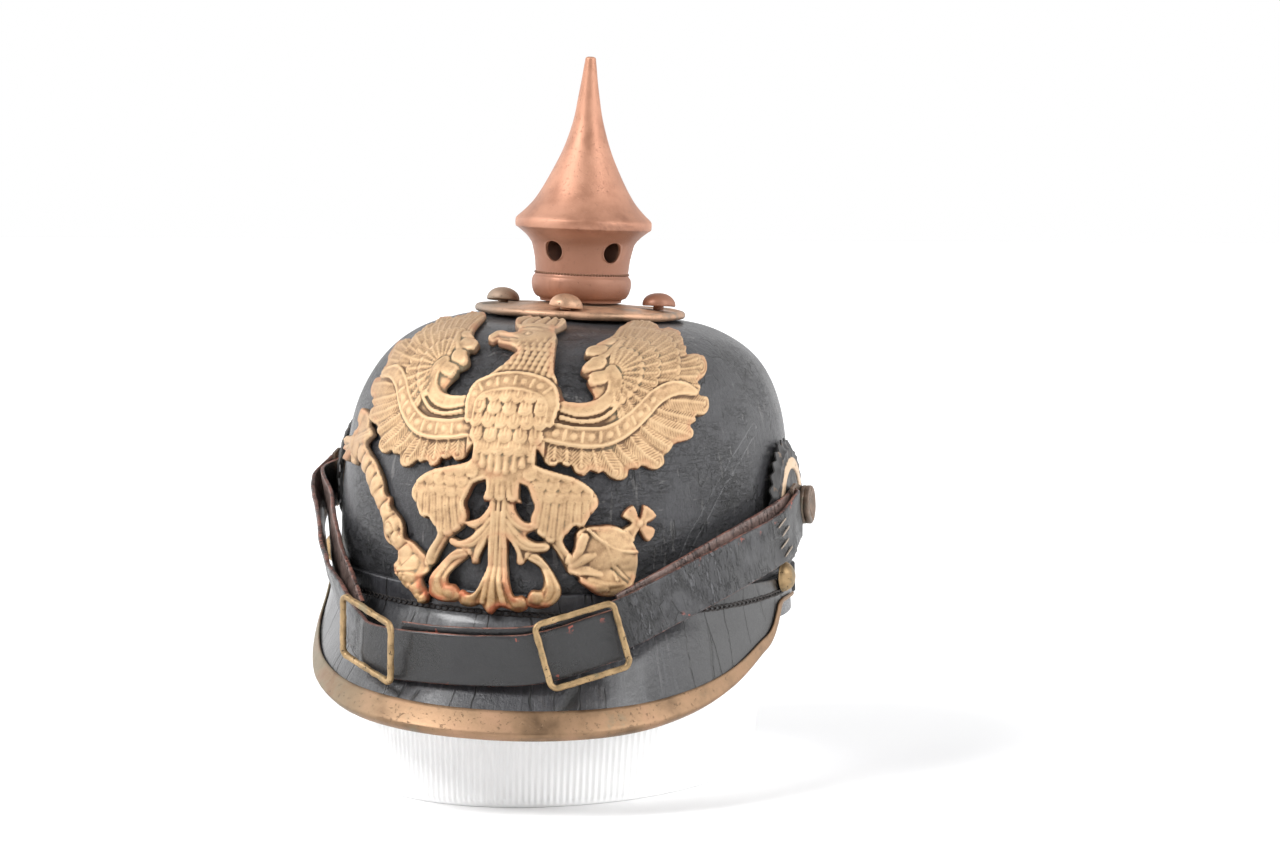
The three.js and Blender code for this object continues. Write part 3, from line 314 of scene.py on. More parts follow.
class Nodes:
    """A node tree. Its methods add nodes and give back the last one's output. A value is a
    number, another node's output or, where a colour is wanted, a display colour."""

    def __init__(self, tree):
        self.tree = tree

    def put(self, socket, value):
        """Links an output to a socket, or sets the socket."""
        if isinstance(value, bpy.types.NodeSocket):
            self.tree.links.new(value, socket)
        elif value is not None:
            is_colour = socket.type == "RGBA" and len(value) == 3
            socket.default_value = tone(*value) if is_colour else value

    def node(self, kind, inputs=(), output=0, **settings):
        """A new node with its inputs and settings; gives back one of its outputs."""
        node = self.tree.nodes.new("ShaderNode" + kind)
        for key, value in settings.items():
            setattr(node, key, value)
        for socket, value in dict(inputs).items():
            self.put(node.inputs[socket], value)
        return node.outputs[output]

    def math(self, kind, a, b=None):
        return self.node("Math", {0: a, 1: b}, operation=kind)

    def times(self, a, b):
        return self.math("MULTIPLY", a, b)

    def plus(self, a, b):
        return self.math("ADD", a, b)

    def fade(self, value, low, high, to_low=0.0, to_high=1.0):
        """Smooth step from to_low at low to to_high at high."""
        return self.node("MapRange", {0: value, 1: low, 2: high, 3: to_low, 4: to_high},
                         interpolation_type="SMOOTHSTEP")


class Finish(Nodes):
    """A node material."""

    def __init__(self, name, roughness=0.5, metallic=0.0, specular=0.5, coat=0.0, coat_roughness=0.1):
        self.material = bpy.data.materials.new(name)
        self.material.use_nodes = True
        super().__init__(self.material.node_tree)
        self.shader = self.tree.nodes["Principled BSDF"]
        self.set({"Roughness": roughness, "Metallic": metallic, "Coat Weight": coat,
                  "Specular IOR Level": specular, "Coat Roughness": coat_roughness})

    def set(self, values):
        for socket, value in values.items():
            self.put(self.shader.inputs[socket], value)
        return self.material

    def finish(self, colour, roughness=None, normal=None, metallic=None):
        """Joins the finished values to the shader and gives back the material."""
        return self.set({"Base Color": colour, "Roughness": roughness, "Normal": normal,
                         "Metallic": metallic})

    def spot(self, scale=(1, 1, 1), flat=False, turn=0.0, shift=(0, 0, 0)):
        """Object coordinates, or the piece's flat map, stretched by scale."""
        source = self.node("TexCoord", output="UV" if flat else "Object")
        return self.node("Mapping", {"Vector": source, "Scale": scale, "Location": shift,
                                     "Rotation": (0, 0, turn)})

    def axis(self, name):
        """The place along X, Y or Z in metres."""
        return self.node("SeparateXYZ", {0: self.spot()}, output=name)

    def noise(self, size, detail=4.0, rough=0.55, at=None, warp=0.0):
        """Cloudy noise with lumps about `size` millimetres across."""
        return self.node("TexNoise", {"Vector": at or self.spot(), "Scale": 1000 / size, "Detail": detail,
                                      "Roughness": rough, "Distortion": warp})

    def cells(self, size, at):
        """Distance to the edges of random cells about `size` millimetres across."""
        return self.node("TexVoronoi", {"Vector": at, "Scale": 1000 / size}, feature="DISTANCE_TO_EDGE")

    def veins(self, value, width):
        """Thin wandering lines: where a noise crosses its middle value."""
        return self.fade(self.math("ABSOLUTE", self.plus(value, -0.5)), 0.0, width, 1.0, 0.0)

    def scratches(self, size, at, low=0.62, high=0.7):
        """Thin bright lines: the crest of a noise stretched along one direction."""
        return self.fade(self.noise(size, 3, 0.7, at=at), low, high)

    def value(self, name):
        """Numbers carried by the piece's points."""
        return self.node("Attribute", output=2, attribute_name=name)

    def ramp(self, value, *stops):
        """A colour between stops, each a place from 0 to 1 and a display colour."""
        out = self.node("ValToRGB", {0: value})
        elements = out.node.color_ramp.elements
        for i, (stop, colour) in enumerate(stops):
            element = elements[i] if i < 2 else elements.new(stop)
            element.position = stop
            element.color = tone(*colour)
        return out

    def mix(self, share, a, b):
        """Colour a turning into b as the share goes from 0 to 1."""
        return self.node("Mix", {0: share, 6: a, 7: b}, output=2, data_type="RGBA")

    def tint(self, colour, *layers):
        """Layers over a colour: where each one lies, how strong it is at most, its colour."""
        for where, share, over in layers:
            colour = self.mix(self.times(where, share), colour, over)
        return colour

    def relief(self, *layers):
        """Bumps over one another: a height from 0 to 1 and its depth in millimetres, below 0 for
        a groove."""
        normal = None
        for height, depth in layers:
            if depth < 0:
                height = self.math("SUBTRACT", 1.0, height)
            normal = self.node("Bump", {"Height": height, "Distance": abs(depth) * MM, "Strength": 1.0,
                                        "Normal": normal})
        return normal


# Two long scratches down the wearer's left of the skull: their reach along SLANT, and the stretch
# of Y where they fade in and out.
SLANT, SCORED = (0.9255, 0.0, -0.3787), (0.0283, 0.0259)
SCORED_BACK, SCORED_FRONT = (-0.034, -0.026), (-0.078, -0.07)
FRONT_END, FRONT_START = -0.116, -0.104  # where the strap's lap at the front begins, along Y


def black_leather():
    """Pressed and blacked leather: pebbled grain with painted sheen on its crests, wrinkles in patches,
    rubbed lines, scratches and a few short creases, the creases and fine wrinkle lines darkened by
    painted shade."""
    f = Finish("black_leather", coat=0.3, coat_roughness=0.2)
    wear = f.noise(42, 5)
    grain = f.noise(1.6, 5, 0.75)
    lumps = f.noise(5, 5, 0.65, at=f.spot((1, 1, 0.5)))
    wrinkles = f.noise(7, 4, 0.7, at=f.spot((1, 1, 3.2), turn=0.3), warp=1.2)
    wrinkled = f.fade(f.noise(38, 3), 0.42, 0.62)
    fine_lines = f.times(f.veins(wrinkles, 0.05), wrinkled)
    creases = f.veins(f.noise(13, 3, 0.5, at=f.spot((1, 1, 0.6), shift=(0.01, 0.02, 0)), warp=0.6), 0.022)
    creases = f.times(creases, f.fade(f.noise(20, 4, warp=0.8), 0.5, 0.55))
    rubs = f.scratches(5, f.spot((1, 1, 0.06), turn=0.4))
    for more in (f.scratches(5, f.spot((0.3, 0.3, 1.4)), 0.64),
                 f.scratches(3, f.spot((0.5, 1, 0.12), turn=1.1), 0.64, 0.68)):
        rubs = f.math("MAXIMUM", rubs, more)
    reach = f.node("VectorMath", {0: f.spot(), 1: SLANT}, output=1, operation="DOT_PRODUCT")
    reach = f.plus(reach, f.times(f.noise(30, 2), 0.003))
    lines = [f.fade(f.math("ABSOLUTE", f.plus(reach, -mark)), 0.00005, 0.0003, 1.0, 0.0) for mark in SCORED]
    y = f.axis("Y")
    scored = f.times(f.fade(y, *SCORED_FRONT), f.fade(y, *SCORED_BACK, 1.0, 0.0))
    scored = f.times(f.math("MAXIMUM", *lines), scored)
    base = f.ramp(wear, (0.3, (26, 26, 29)), (0.7, (50, 50, 54)))
    # Painted sheen: the grain's crests are tinted lighter. Painted shade: the fine wrinkle lines and the
    # creases are tinted near black.
    base = f.tint(base, (scored, 0.45, (130, 130, 132)), (f.fade(grain, 0.4, 0.75), 0.35, (92, 92, 96)),
                  (fine_lines, 0.5, (10, 10, 11)), (rubs, 0.4, (124, 122, 120)), (creases, 0.8, (8, 8, 8)))
    rough = f.fade(f.plus(wear, f.times(grain, 0.5)), 0.45, 1.05, 0.28, 0.6)
    return f.finish(base, rough, f.relief(
        (grain, 0.9), (lumps, 1.3), (f.times(wrinkles, wrinkled), 2.6), (creases, -0.8),
        (fine_lines, -0.5), (rubs, -0.12), (scored, -0.3)))


def visor_leather():
    """The visor's smoother lacquered leather, cracked down its slope, with painted shade making it darkest at
    its side.
    """
    f = Finish("visor_leather", coat=0.5, coat_roughness=0.18)
    wear = f.noise(32, 5)
    grain = f.noise(1.3, 6, 0.65)
    wander = f.plus(f.times(f.noise(20, 3), 0.006), -0.003)
    shaken = f.node("VectorMath", {0: f.spot((1, 0.09, 1), flat=True), 1: f.node("CombineXYZ", {0: wander})},
                    operation="ADD")
    cracks = f.times(f.fade(f.cells(15, shaken), 0.0, 0.022, 1.0, 0.0), f.fade(f.noise(40, 2), 0.44, 0.5))
    drag = f.noise(2.2, 5, 0.7, at=f.spot((1, 0.12, 1), flat=True))
    rubs = f.scratches(4, f.spot((1, 0.1, 1), flat=True))
    base = f.ramp(wear, (0.3, (24, 24, 27)), (0.7, (54, 54, 58)))
    # Painted shade: the visor is tinted near black towards its end at +X.
    base = f.tint(base, (f.fade(drag, 0.45, 0.75), 0.3, (96, 96, 100)), (rubs, 0.25, (104, 102, 102)),
                  (f.fade(f.axis("X"), 0.055, 0.078), 0.9, (8, 8, 9)), (cracks, 1.0, (10, 10, 10)))
    rough = f.fade(f.plus(wear, f.times(grain, 0.5)), 0.45, 1.0, 0.28, 0.5)
    relief = f.relief((grain, 0.3), (drag, 0.3), (f.noise(6, 4, 0.6), 0.5), (cracks, -0.8))
    return f.finish(base, rough, relief)


def strap_leather():
    """Strap: black glaze outside, wrinkled across except at the lap, with painted highlight on the
    wrinkles' crests and painted shade in their folds; brown flesh side inside, red-brown raw edges."""
    f = Finish("strap_leather", coat=0.35, coat_roughness=0.18)
    face, edge, y = f.value("face"), f.value("edge"), f.axis("Y")
    sides = f.fade(y, FRONT_END, FRONT_START)
    wear = f.noise(16, 5)
    ridges = f.noise(2.2, 5, 0.7, at=f.spot((1, 0.22, 1), flat=True), warp=0.6)
    ridged = f.times(f.fade(f.noise(22, 3), 0.38, 0.55), sides)
    raised = f.times(ridges, ridged)
    folds = f.times(f.veins(ridges, 0.06), ridged)
    across = f.cells(9, f.spot((1, 0.45, 1), flat=True))
    cracks = f.times(f.fade(across, 0.0, 0.02, 1.0, 0.0), f.fade(f.noise(19, 4), 0.5, 0.56))
    cracks = f.times(cracks, sides)
    black = f.ramp(wear, (0.3, (16, 16, 18)), (0.7, (48, 48, 52)))
    # Painted highlight: the wrinkles' crests are tinted lighter. Painted shade: their folds are tinted near
    # black.
    black = f.tint(black, (f.fade(y, -0.1, -0.118), 0.7, (15, 15, 16)),
                   (f.fade(y, -0.062, -0.03), 0.85, (14, 14, 15)),
                   (f.fade(raised, 0.4, 0.65), 0.5, (104, 104, 108)), (folds, 0.65, (8, 8, 9)),
                   (cracks, 0.8, (10, 10, 10)))
    suede = f.ramp(f.noise(2.2, 6, 0.7), (0.3, (92, 72, 66)), (0.7, (134, 112, 104)))
    raw = f.ramp(f.noise(5, 4), (0.35, (60, 34, 28)), (0.65, (136, 84, 68)))
    outside = f.fade(face, -0.2, 0.2)
    chips = f.fade(f.noise(5, 3, 0.6, at=f.spot(shift=(0.4, 0, 0))), 0.66, 0.69)
    chips = f.times(f.fade(edge, 0.55, 0.95), chips)
    worn = f.fade(f.plus(edge, f.times(f.noise(6, 5), 0.12)), 1.02, 1.05)
    colour = f.tint(f.mix(outside, suede, black), (chips, outside, (150, 66, 46)), (worn, 1.0, raw))
    rough = f.mix(outside, (0.85, 0.85, 0.85, 1), f.fade(wear, 0.3, 0.7, 0.24, 0.55))
    return f.finish(colour, rough, f.relief(
        (f.noise(0.9, 6, 0.7), 0.3), (raised, 2.6), (f.noise(4, 4, 0.6), 0.6), (folds, -0.6), (cracks, -0.7)))


def metal(name, *tones, size=9, pits=0.35, seed=0.0, shine=0.85, dull=None):
    """Old metal: clouds of three tones and a fourth in patches (a tarnish, but on the spike a darker
    copper) and, between the two places along an axis that dull names, all over; dark pits and a
    fine uneven surface."""
    f = Finish(name)
    at = f.spot(shift=(seed, seed, seed))
    cloud = f.noise(size, 6, 0.6, at=at)
    patch = f.fade(f.noise(size * 2.2, 5, 0.65, at=at, warp=0.6), 0.56, 0.68)
    if dull:
        axis, low, high = dull
        patch = f.math("MAXIMUM", patch, f.times(f.fade(f.axis(axis), low, high), f.fade(cloud, 0.3, 0.5)))
    specks = f.fade(f.noise(1.3, 4, 0.65, at=at), 0.6, 0.66)
    colour = f.ramp(cloud, *zip((0.28, 0.5, 0.72), tones))
    colour = f.tint(colour, (patch, 0.7, tones[3]), (specks, pits, (46, 38, 30)))
    relief = f.relief((f.noise(0.9, 5, 0.6, at=at), 0.04), (specks, -0.06))
    rough = f.fade(cloud, 0.3, 0.7, 0.42, 0.6)
    return f.finish(colour, rough, relief, f.fade(patch, 0.0, 1.0, shine, shine * 0.6))


def gilt():
    """Stamped and gilded plate, matte: a little brighter on the high parts by painted highlight, brown
    in the creases by painted shade and some dirt, greyer at the top, and rubbed to red brass along
    the edges at its foot."""
    f = Finish("gilt_brass", metallic=0.5)
    raised, rim, foot, dull = (f.value(name) for name in ("raised", "rim", "foot", "dull"))
    cloud = f.noise(12, 5)
    fine = f.noise(0.9, 6, 0.75)
    level = f.plus(raised, f.times(f.plus(fine, -0.5), 0.35))
    level = f.plus(level, f.times(f.plus(cloud, -0.5), 0.5))
    worn = f.times(f.plus(foot, 0.35), f.times(f.fade(rim, 0.05, 0.7), f.fade(cloud, 0.42, 0.58)))
    green = f.times(f.fade(level, -0.05, -0.3), f.fade(f.noise(24, 3), 0.48, 0.6))
    # Colour by the height over the surroundings: painted highlight on the high parts, painted shade with some
    # dirt in the hollows.
    colour = f.ramp(f.fade(level, -0.5, 0.45), (0.12, (96, 72, 52)), (0.38, (164, 132, 98)),
                    (0.58, (190, 158, 120)), (0.95, (208, 178, 140)))
    colour = f.tint(colour, (dull, f.fade(cloud, 0.3, 0.7, 0.45, 0.85), (170, 144, 120)),
                    (foot, f.fade(fine, 0.3, 0.65, 0.75, 0.25), (178, 132, 76)), (worn, 0.8, (178, 104, 72)),
                    (green, 0.45, (120, 120, 98)),
                    (f.fade(f.noise(1.3, 4, 0.7), 0.62, 0.7), 0.5, (96, 66, 46)))
    return f.finish(colour, f.fade(foot, 0.0, 1.2, 0.58, 0.48), f.relief((fine, 0.16)))


def stand_white():
    """Matte white board."""
    f = Finish("stand_white", roughness=0.9, specular=0.2)
    colour = f.ramp(f.noise(20, 4), (0.3, (250, 250, 250)), (0.7, (255, 255, 255)))
    return f.finish(colour, None, f.relief((f.noise(0.8, 4), 0.05)))


def floor_white():
    """Pale sheet that glows with the distance, so that the far floor is as white as the room."""
    f = Finish("floor_white", roughness=0.95, specular=0.1)
    away = f.node("VectorMath", {0: f.spot()}, output=1, operation="LENGTH")
    f.set({"Emission Color": (1, 1, 1, 1), "Emission Strength": f.fade(away, 0.25, 1.2, 0.0, 0.5)})
    return f.finish(f.ramp(f.noise(220, 2), (0.3, (248, 248, 249)), (0.7, (252, 252, 252))))


def cockade_paint():
    """Black, cream, black rings by the distance from the middle, chipped along their edges."""
    f = Finish("cockade_enamel", roughness=0.5)
    ring = f.plus(f.value("ring"), f.times(f.noise(2, 4), 0.8))
    cream = f.times(f.fade(ring, 13.5, 13.9), f.fade(ring, 18.1, 17.7))
    black = f.mix(f.noise(5, 4), (26, 25, 25), (62, 60, 60))
    chips = f.fade(f.noise(3, 4), 0.62, 0.68)
    colour = f.tint(black, (cream, 1.0, (206, 178, 148)), (chips, 0.6, (120, 98, 78)))
    return f.finish(colour, f.fade(f.noise(4, 3), 0.3, 0.7, 0.35, 0.6), f.relief((f.noise(1.4, 4), 0.05)))


def thread(name, dark, light):
    """Twisted waxed thread."""
    f = Finish(name, roughness=0.6)
    twist = f.node("TexWave", {"Vector": f.spot(), "Scale": 900.0, "Distortion": 2.0}, output=1)
    return f.finish(f.mix(f.noise(9, 3), dark, light), None, f.relief((twist, 0.08)))


LEATHER, VISOR_LEATHER, STRAP_LEATHER = black_leather(), visor_leather(), strap_leather()
GILT, WHITE, COCKADE_PAINT = gilt(), stand_white(), cockade_paint()
THREAD = thread("waxed_thread", (20, 19, 19), (52, 44, 40))
PALE_THREAD = thread("pale_thread", (120, 106, 94), (182, 168, 152))
BRASS = metal("worn_brass", (118, 98, 70), (160, 134, 98), (190, 162, 122), (104, 100, 80),
              size=5, pits=0.85, shine=0.75)
PLATE_BRASS = metal("plate_brass", (128, 104, 84), (184, 146, 118), (214, 172, 142), (104, 104, 96),
                    seed=0.3, shine=0.6, dull=("X", 0.005, -0.03))
TRIM_BRASS = metal("trim_brass", (110, 88, 68), (146, 118, 92), (170, 136, 110), (104, 102, 84),
                   size=14, dull=("X", -0.02, -0.07))
# The spike is darker below a height: its lower neck and foot take the darker copper tone all over.
COPPER = metal("copper_tone", (146, 100, 78), (174, 126, 102), (190, 142, 118), (126, 84, 64),
               size=16, pits=0.1, shine=0.5, dull=("Z", 0.2, 0.196))
SEAM = metal("seam_copper", (92, 66, 52), (110, 80, 64), (130, 96, 76), (80, 66, 54), size=6)
STEEL = metal("grey_steel", (88, 78, 68), (120, 104, 92), (150, 130, 116), (92, 92, 76), size=6)


# ---- skull ----------------------------------------------------------------------------------
def skull():
    """Outer skin from the brim to the crown, back down the inner skin; the outer one sinks in soft
    dents of up to 0.8 mm."""
    turn = circle(260)[None, :]
    rise = np.radians(np.linspace(0, 89.4, 110))[:, None]
    skin = skull_point(turn, rise)
    dents = 0.3 + 0.3 * waves(skin, 34, 3)
    outer = skull_point(turn, rise, -np.clip(dents, 0, 0.8) * smoothstep(0.0, 0.1, rise))
    inner = skull_point(turn, rise[::3], -SKULL_WALL)
    inner[0, :, 2] = 0
    lip = (outer[:1] + inner[:1]) / 2
    lip[..., 2] = -0.5
    rows = np.concatenate([outer[::-1], lip, inner])
    Shape().grid(rows, ends="point").make("skull_leather", LEATHER, "black_leather", "skull")


# ---- visors ---------------------------------------------------------------------------------
# Lower edges: degrees from the front, or from the back, reach outside the skull, height.
FRONT_EDGE = table(
    "turn reach height", (0, 32, -31), (12, 31.2, -30.4), (24, 27.4, -28.3), (36, 21, -23.6),
    (48, 13.6, -17.4), (60, 8.2, -9.4), (68, 5.8, -4.4), (72, 4.6, 0.8), (76, 3.6, 6), (82, 3.2, 7.6),
    (88, 3.1, 8.2))
REAR_EDGE = table(
    "turn reach height", (0, 20, -34), (14, 18.6, -32), (28, 12, -25), (40, 5.6, -14), (50, 3, -4),
    (58, 3, 1.5), (64, 3, 4))
VISOR_END, REAR_END = 88, 64  # degrees from the front and from the back
TRIM_WALL, TRIM_INNER_LEG, TRIM_END = 0.7, 4.0, 87
# How far the trim's outer leg reaches up the visor, by degrees from the front.
TRIM_LEG = table("turn leg", (0, 9), (20, 8.6), (35, 7), (50, 5), (65, 3.6), (87, 2.2))


def stitch_height(turn):
    """The stitch line dips at the front and climbs to both sides."""
    return STITCH_HEIGHT + STITCH_RISE * (1 - np.abs(np.cos(turn)))


def visor_section(turn, edge, rear=False):
    """Corners of a visor's section in the upright plane at each turn, as radius and height: the
    flange hugs the skull, then the slope runs out to the edge."""
    from_middle = np.degrees(np.pi - np.abs(turn) if rear else np.abs(turn))
    stitch = stitch_height(turn)
    top = stitch + FLANGE * (1 - FLANGE_TAPER * np.sin(turn) ** 8)
    bend = stitch - 1.5
    inside_top, inside_bend = skull_radius(turn, top) + GAP, skull_radius(turn, bend) + GAP
    reach = column(edge, "turn", from_middle, "reach")
    bend_out = np.stack([inside_bend + VISOR_WALL, bend], -1)
    height = column(edge, "turn", from_middle, "height")
    edge_out = np.stack([skull_radius(turn, 0) + reach, height], -1)
    slope = unit(edge_out - bend_out)
    inward = np.stack([slope[..., 1], -slope[..., 0]], -1)
    miter = np.array([-1.0, 0.0]) + inward
    miter *= (VISOR_WALL / (1 - inward[..., 0]))[..., None]
    run = np.linalg.norm(edge_out - bend_out, axis=-1)
    return {
        "top_out": np.stack([inside_top + VISOR_WALL, top], -1), "top_in": np.stack([inside_top, top], -1),
        "bend_out": bend_out, "bend_in": bend_out + miter, "edge_out": edge_out,
        "edge_in": edge_out + inward * VISOR_WALL, "slope": slope, "inward": inward, "run": run,
    }


def bezier(a, b, c, steps):
    """Quadratic curve from a to c pulled towards b, new points on a new second axis."""
    s = np.linspace(0, 1, steps)[None, :, None]
    a, b, c = (p[:, None, :] for p in (a, b, c))
    return (1 - s) ** 2 * a + 2 * s * (1 - s) * b + s ** 2 * c


def straight(a, b, steps):
    """Straight lines from a to b, likewise."""
    s = np.linspace(0, 1, steps)[None, :, None]
    return a[:, None, :] * (1 - s) + b[:, None, :] * s


def chain(*pieces):
    """Pieces of a section joined, each one without the point it shares with the last."""
    return np.concatenate([pieces[0]] + [piece[:, 1:] for piece in pieces[1:]], 1)


def in_plane(turn, section):
    """A section's points, radius and height, set in the upright plane at each turn."""
    return axial(turn[:, None], section[..., 0], section[..., 1])


def visor(name, rows, middle, end):
    """The section carried from one side to the other, its corners rounded and its slope pulled
    in soft waves."""
    turn = np.radians(np.linspace(-end, end, 220)) + middle
    wrapped = (turn + np.pi) % (2 * np.pi) - np.pi
    s = visor_section(wrapped, rows, name == "rear")
    top, bend, edge, edge_in = s["top_out"], s["bend_out"], s["edge_out"], s["edge_in"]
    lip = 0.9
    down = unit(bend - top)
    out, inward = s["slope"], s["inward"] * lip
    fillet = np.minimum(s["run"] * 0.35, 3.0)[:, None]
    outer = chain(
        bezier(top + [-lip, 0.0], top, top + down * lip, 5),
        straight(top + down * lip, bend - down * fillet, 5),
        bezier(bend - down * fillet, bend, bend + out * fillet, 6),
        straight(bend + out * fillet, edge - out * lip, 22), bezier(edge - out * lip, edge, edge + inward, 4))
    inner = chain(bezier(edge_in - inward, edge_in, edge_in - out * lip, 4),
                  straight(edge_in - out * lip, s["bend_in"], 9), straight(s["bend_in"], s["top_in"], 4))
    points = in_plane(turn, np.concatenate([outer, inner], 1))
    points[..., 2] += 0.25 * waves(points, 45, 8)
    Shape().grid(points).make(f"{name}_visor_leather", VISOR_LEATHER, "black_leather", f"{name}_visor",
                              sharp=60)


def stitching(name, middle, spread):
    """Chain stitch: small oval loops of thread along the flange. A loop is a ring (a cos p,
    b sin p) whose far end is lifted over the near end of the next."""
    pitch, long, wide, thick = 2.6, 1.75, 0.75, 0.36  # loops apart, half axes, thread radius
    turn = middle + np.radians(np.linspace(-spread, spread, 400))
    height = stitch_height(turn) + 0.4
    line = axial(turn, skull_radius(turn, height) + GAP + VISOR_WALL + 0.1, height)
    run = run_along(line)
    count = int(run[-1] / pitch)
    places = (np.arange(count) + 0.5) * pitch
    centre = between(places, run, line)
    along = unit(between(places + 0.5, run, line) - centre)
    outward = unit(centre * [1, 1, 0])
    up = np.cross(outward, along)
    wobble = np.random.default_rng(5).uniform(0.85, 1.15, count)
    phase, tube = circle(12)[:, None], circle(6)[None, :]
    ahead = (long + thick * wide * np.cos(tube)) * np.cos(phase)
    lift = 0.25 * np.cos(phase) + 0.34 * np.sin(tube)
    shape = Shape()
    for k in range(count):
        rise = (wide * wobble[k] + thick * np.cos(tube)) * np.sin(phase)
        shape.grid(centre[k] + ahead[..., None] * along[k] + rise[..., None] * up[k]
                   + lift[..., None] * outward[k], wrap=(True, True))
    shape.make(name, THREAD, "black_leather")


def visor_trim():
    """Brass channel over the front visor's edge: outer leg, rounded edge, inner leg, narrowing
    towards both ends."""
    turn = np.radians(np.linspace(-TRIM_END, TRIM_END, 200))
    s = visor_section(turn, FRONT_EDGE)
    leg = np.minimum(column(TRIM_LEG, "turn", np.degrees(np.abs(turn)), "leg"), s["run"] * 0.6)
    inner = np.minimum(TRIM_INNER_LEG, leg * 0.5)
    near, skin, deep = GAP, GAP + TRIM_WALL, VISOR_WALL + GAP
    far = deep + TRIM_WALL

    def at(along, depth):
        along = np.broadcast_to(along, turn.shape)[:, None]
        return s["edge_out"] + s["slope"] * along + s["inward"] * depth
    section = np.concatenate([
        chain(bezier(at(-leg, -near), at(-leg - 0.3, -(near + skin) / 2), at(-leg + 0.2, -skin), 4),
              bezier(at(-leg + 0.2, -skin), at(-leg / 2, -skin - 0.25), at(-0.4, -skin), 8),
              bezier(at(-0.4, -skin), at(skin, -skin), at(skin, 0.9), 5)),
        chain(bezier(at(skin, deep - 0.9), at(skin, far), at(-0.4, far), 5),
              straight(at(-0.4, far), at(-inner, far), 4)),
        chain(straight(at(-inner, deep), at(near, deep), 3), straight(at(near, deep), at(near, -near), 3),
              straight(at(near, -near), at(-leg, -near), 5))[:, :-1]], 1)
    Shape().grid(in_plane(turn, section)).make("visor_trim_brass", TRIM_BRASS, "worn_brass", "visor_trim",
                                               sharp=50)


# ---- turned parts ---------------------------------------------------------------------------
def lathe(profile, segments):
    """Profile rows of radius and height spun about Z, as a grid of rings."""
    profile = np.asarray(profile, float)
    return spun(profile[:, :1], circle(segments)[None, :], profile[:, 1:])


# The spike from its tip down: radius and height.
SPIKE_CONE = [
    (1.0, 203.0), (1.8, 202.6), (2.15, 200.8), (3.0, 194.4), (4.1, 187.6), (5.3, 180.9), (7.1, 174.2),
    (9.4, 167.4), (12.4, 160.7), (15.9, 153.9), (19.0, 149.0), (22.6, 145.0), (24.7, 143.1)]
SPIKE_FLANGE = [(25.2, 142.6), (25.45, 142.0), (25.45, 139.7), (25.2, 139.2), (24.4, 138.7)]
SPIKE_NECK = [(24.4, 138.7), (21.3, 136.2), (19.4, 133.8), (18.4, 131.0), (17.9, 128.0), (17.5, 124.0)]
SPIKE_FOOT = [(17.5, 124.0), (17.4, 122.3), (17.8, 121.4), (18.3, 120.8), (18.7, 118.6), (18.2, 115.8),
              (16.9, 113.6), (15.4, 112.9), (15.2, 111.9)]
SPIKE_WALL, SPIKE_TIP, HOLLOW_TIP = 0.9, 203.05, 188.0
SEAM_RADIUS, SEAM_HEIGHT = 17.4, 122.4
HOLES, HOLE_RADIUS, HOLE_HEIGHT, FIRST_HOLE = 5, 3.7, 130.8, -22.5


def neck_radius(height):
    """Radius of the spike's neck at a height."""
    rows = smooth_path(SPIKE_NECK, 8)[::-1]
    return np.interp(height, rows[:, 1], rows[:, 0])


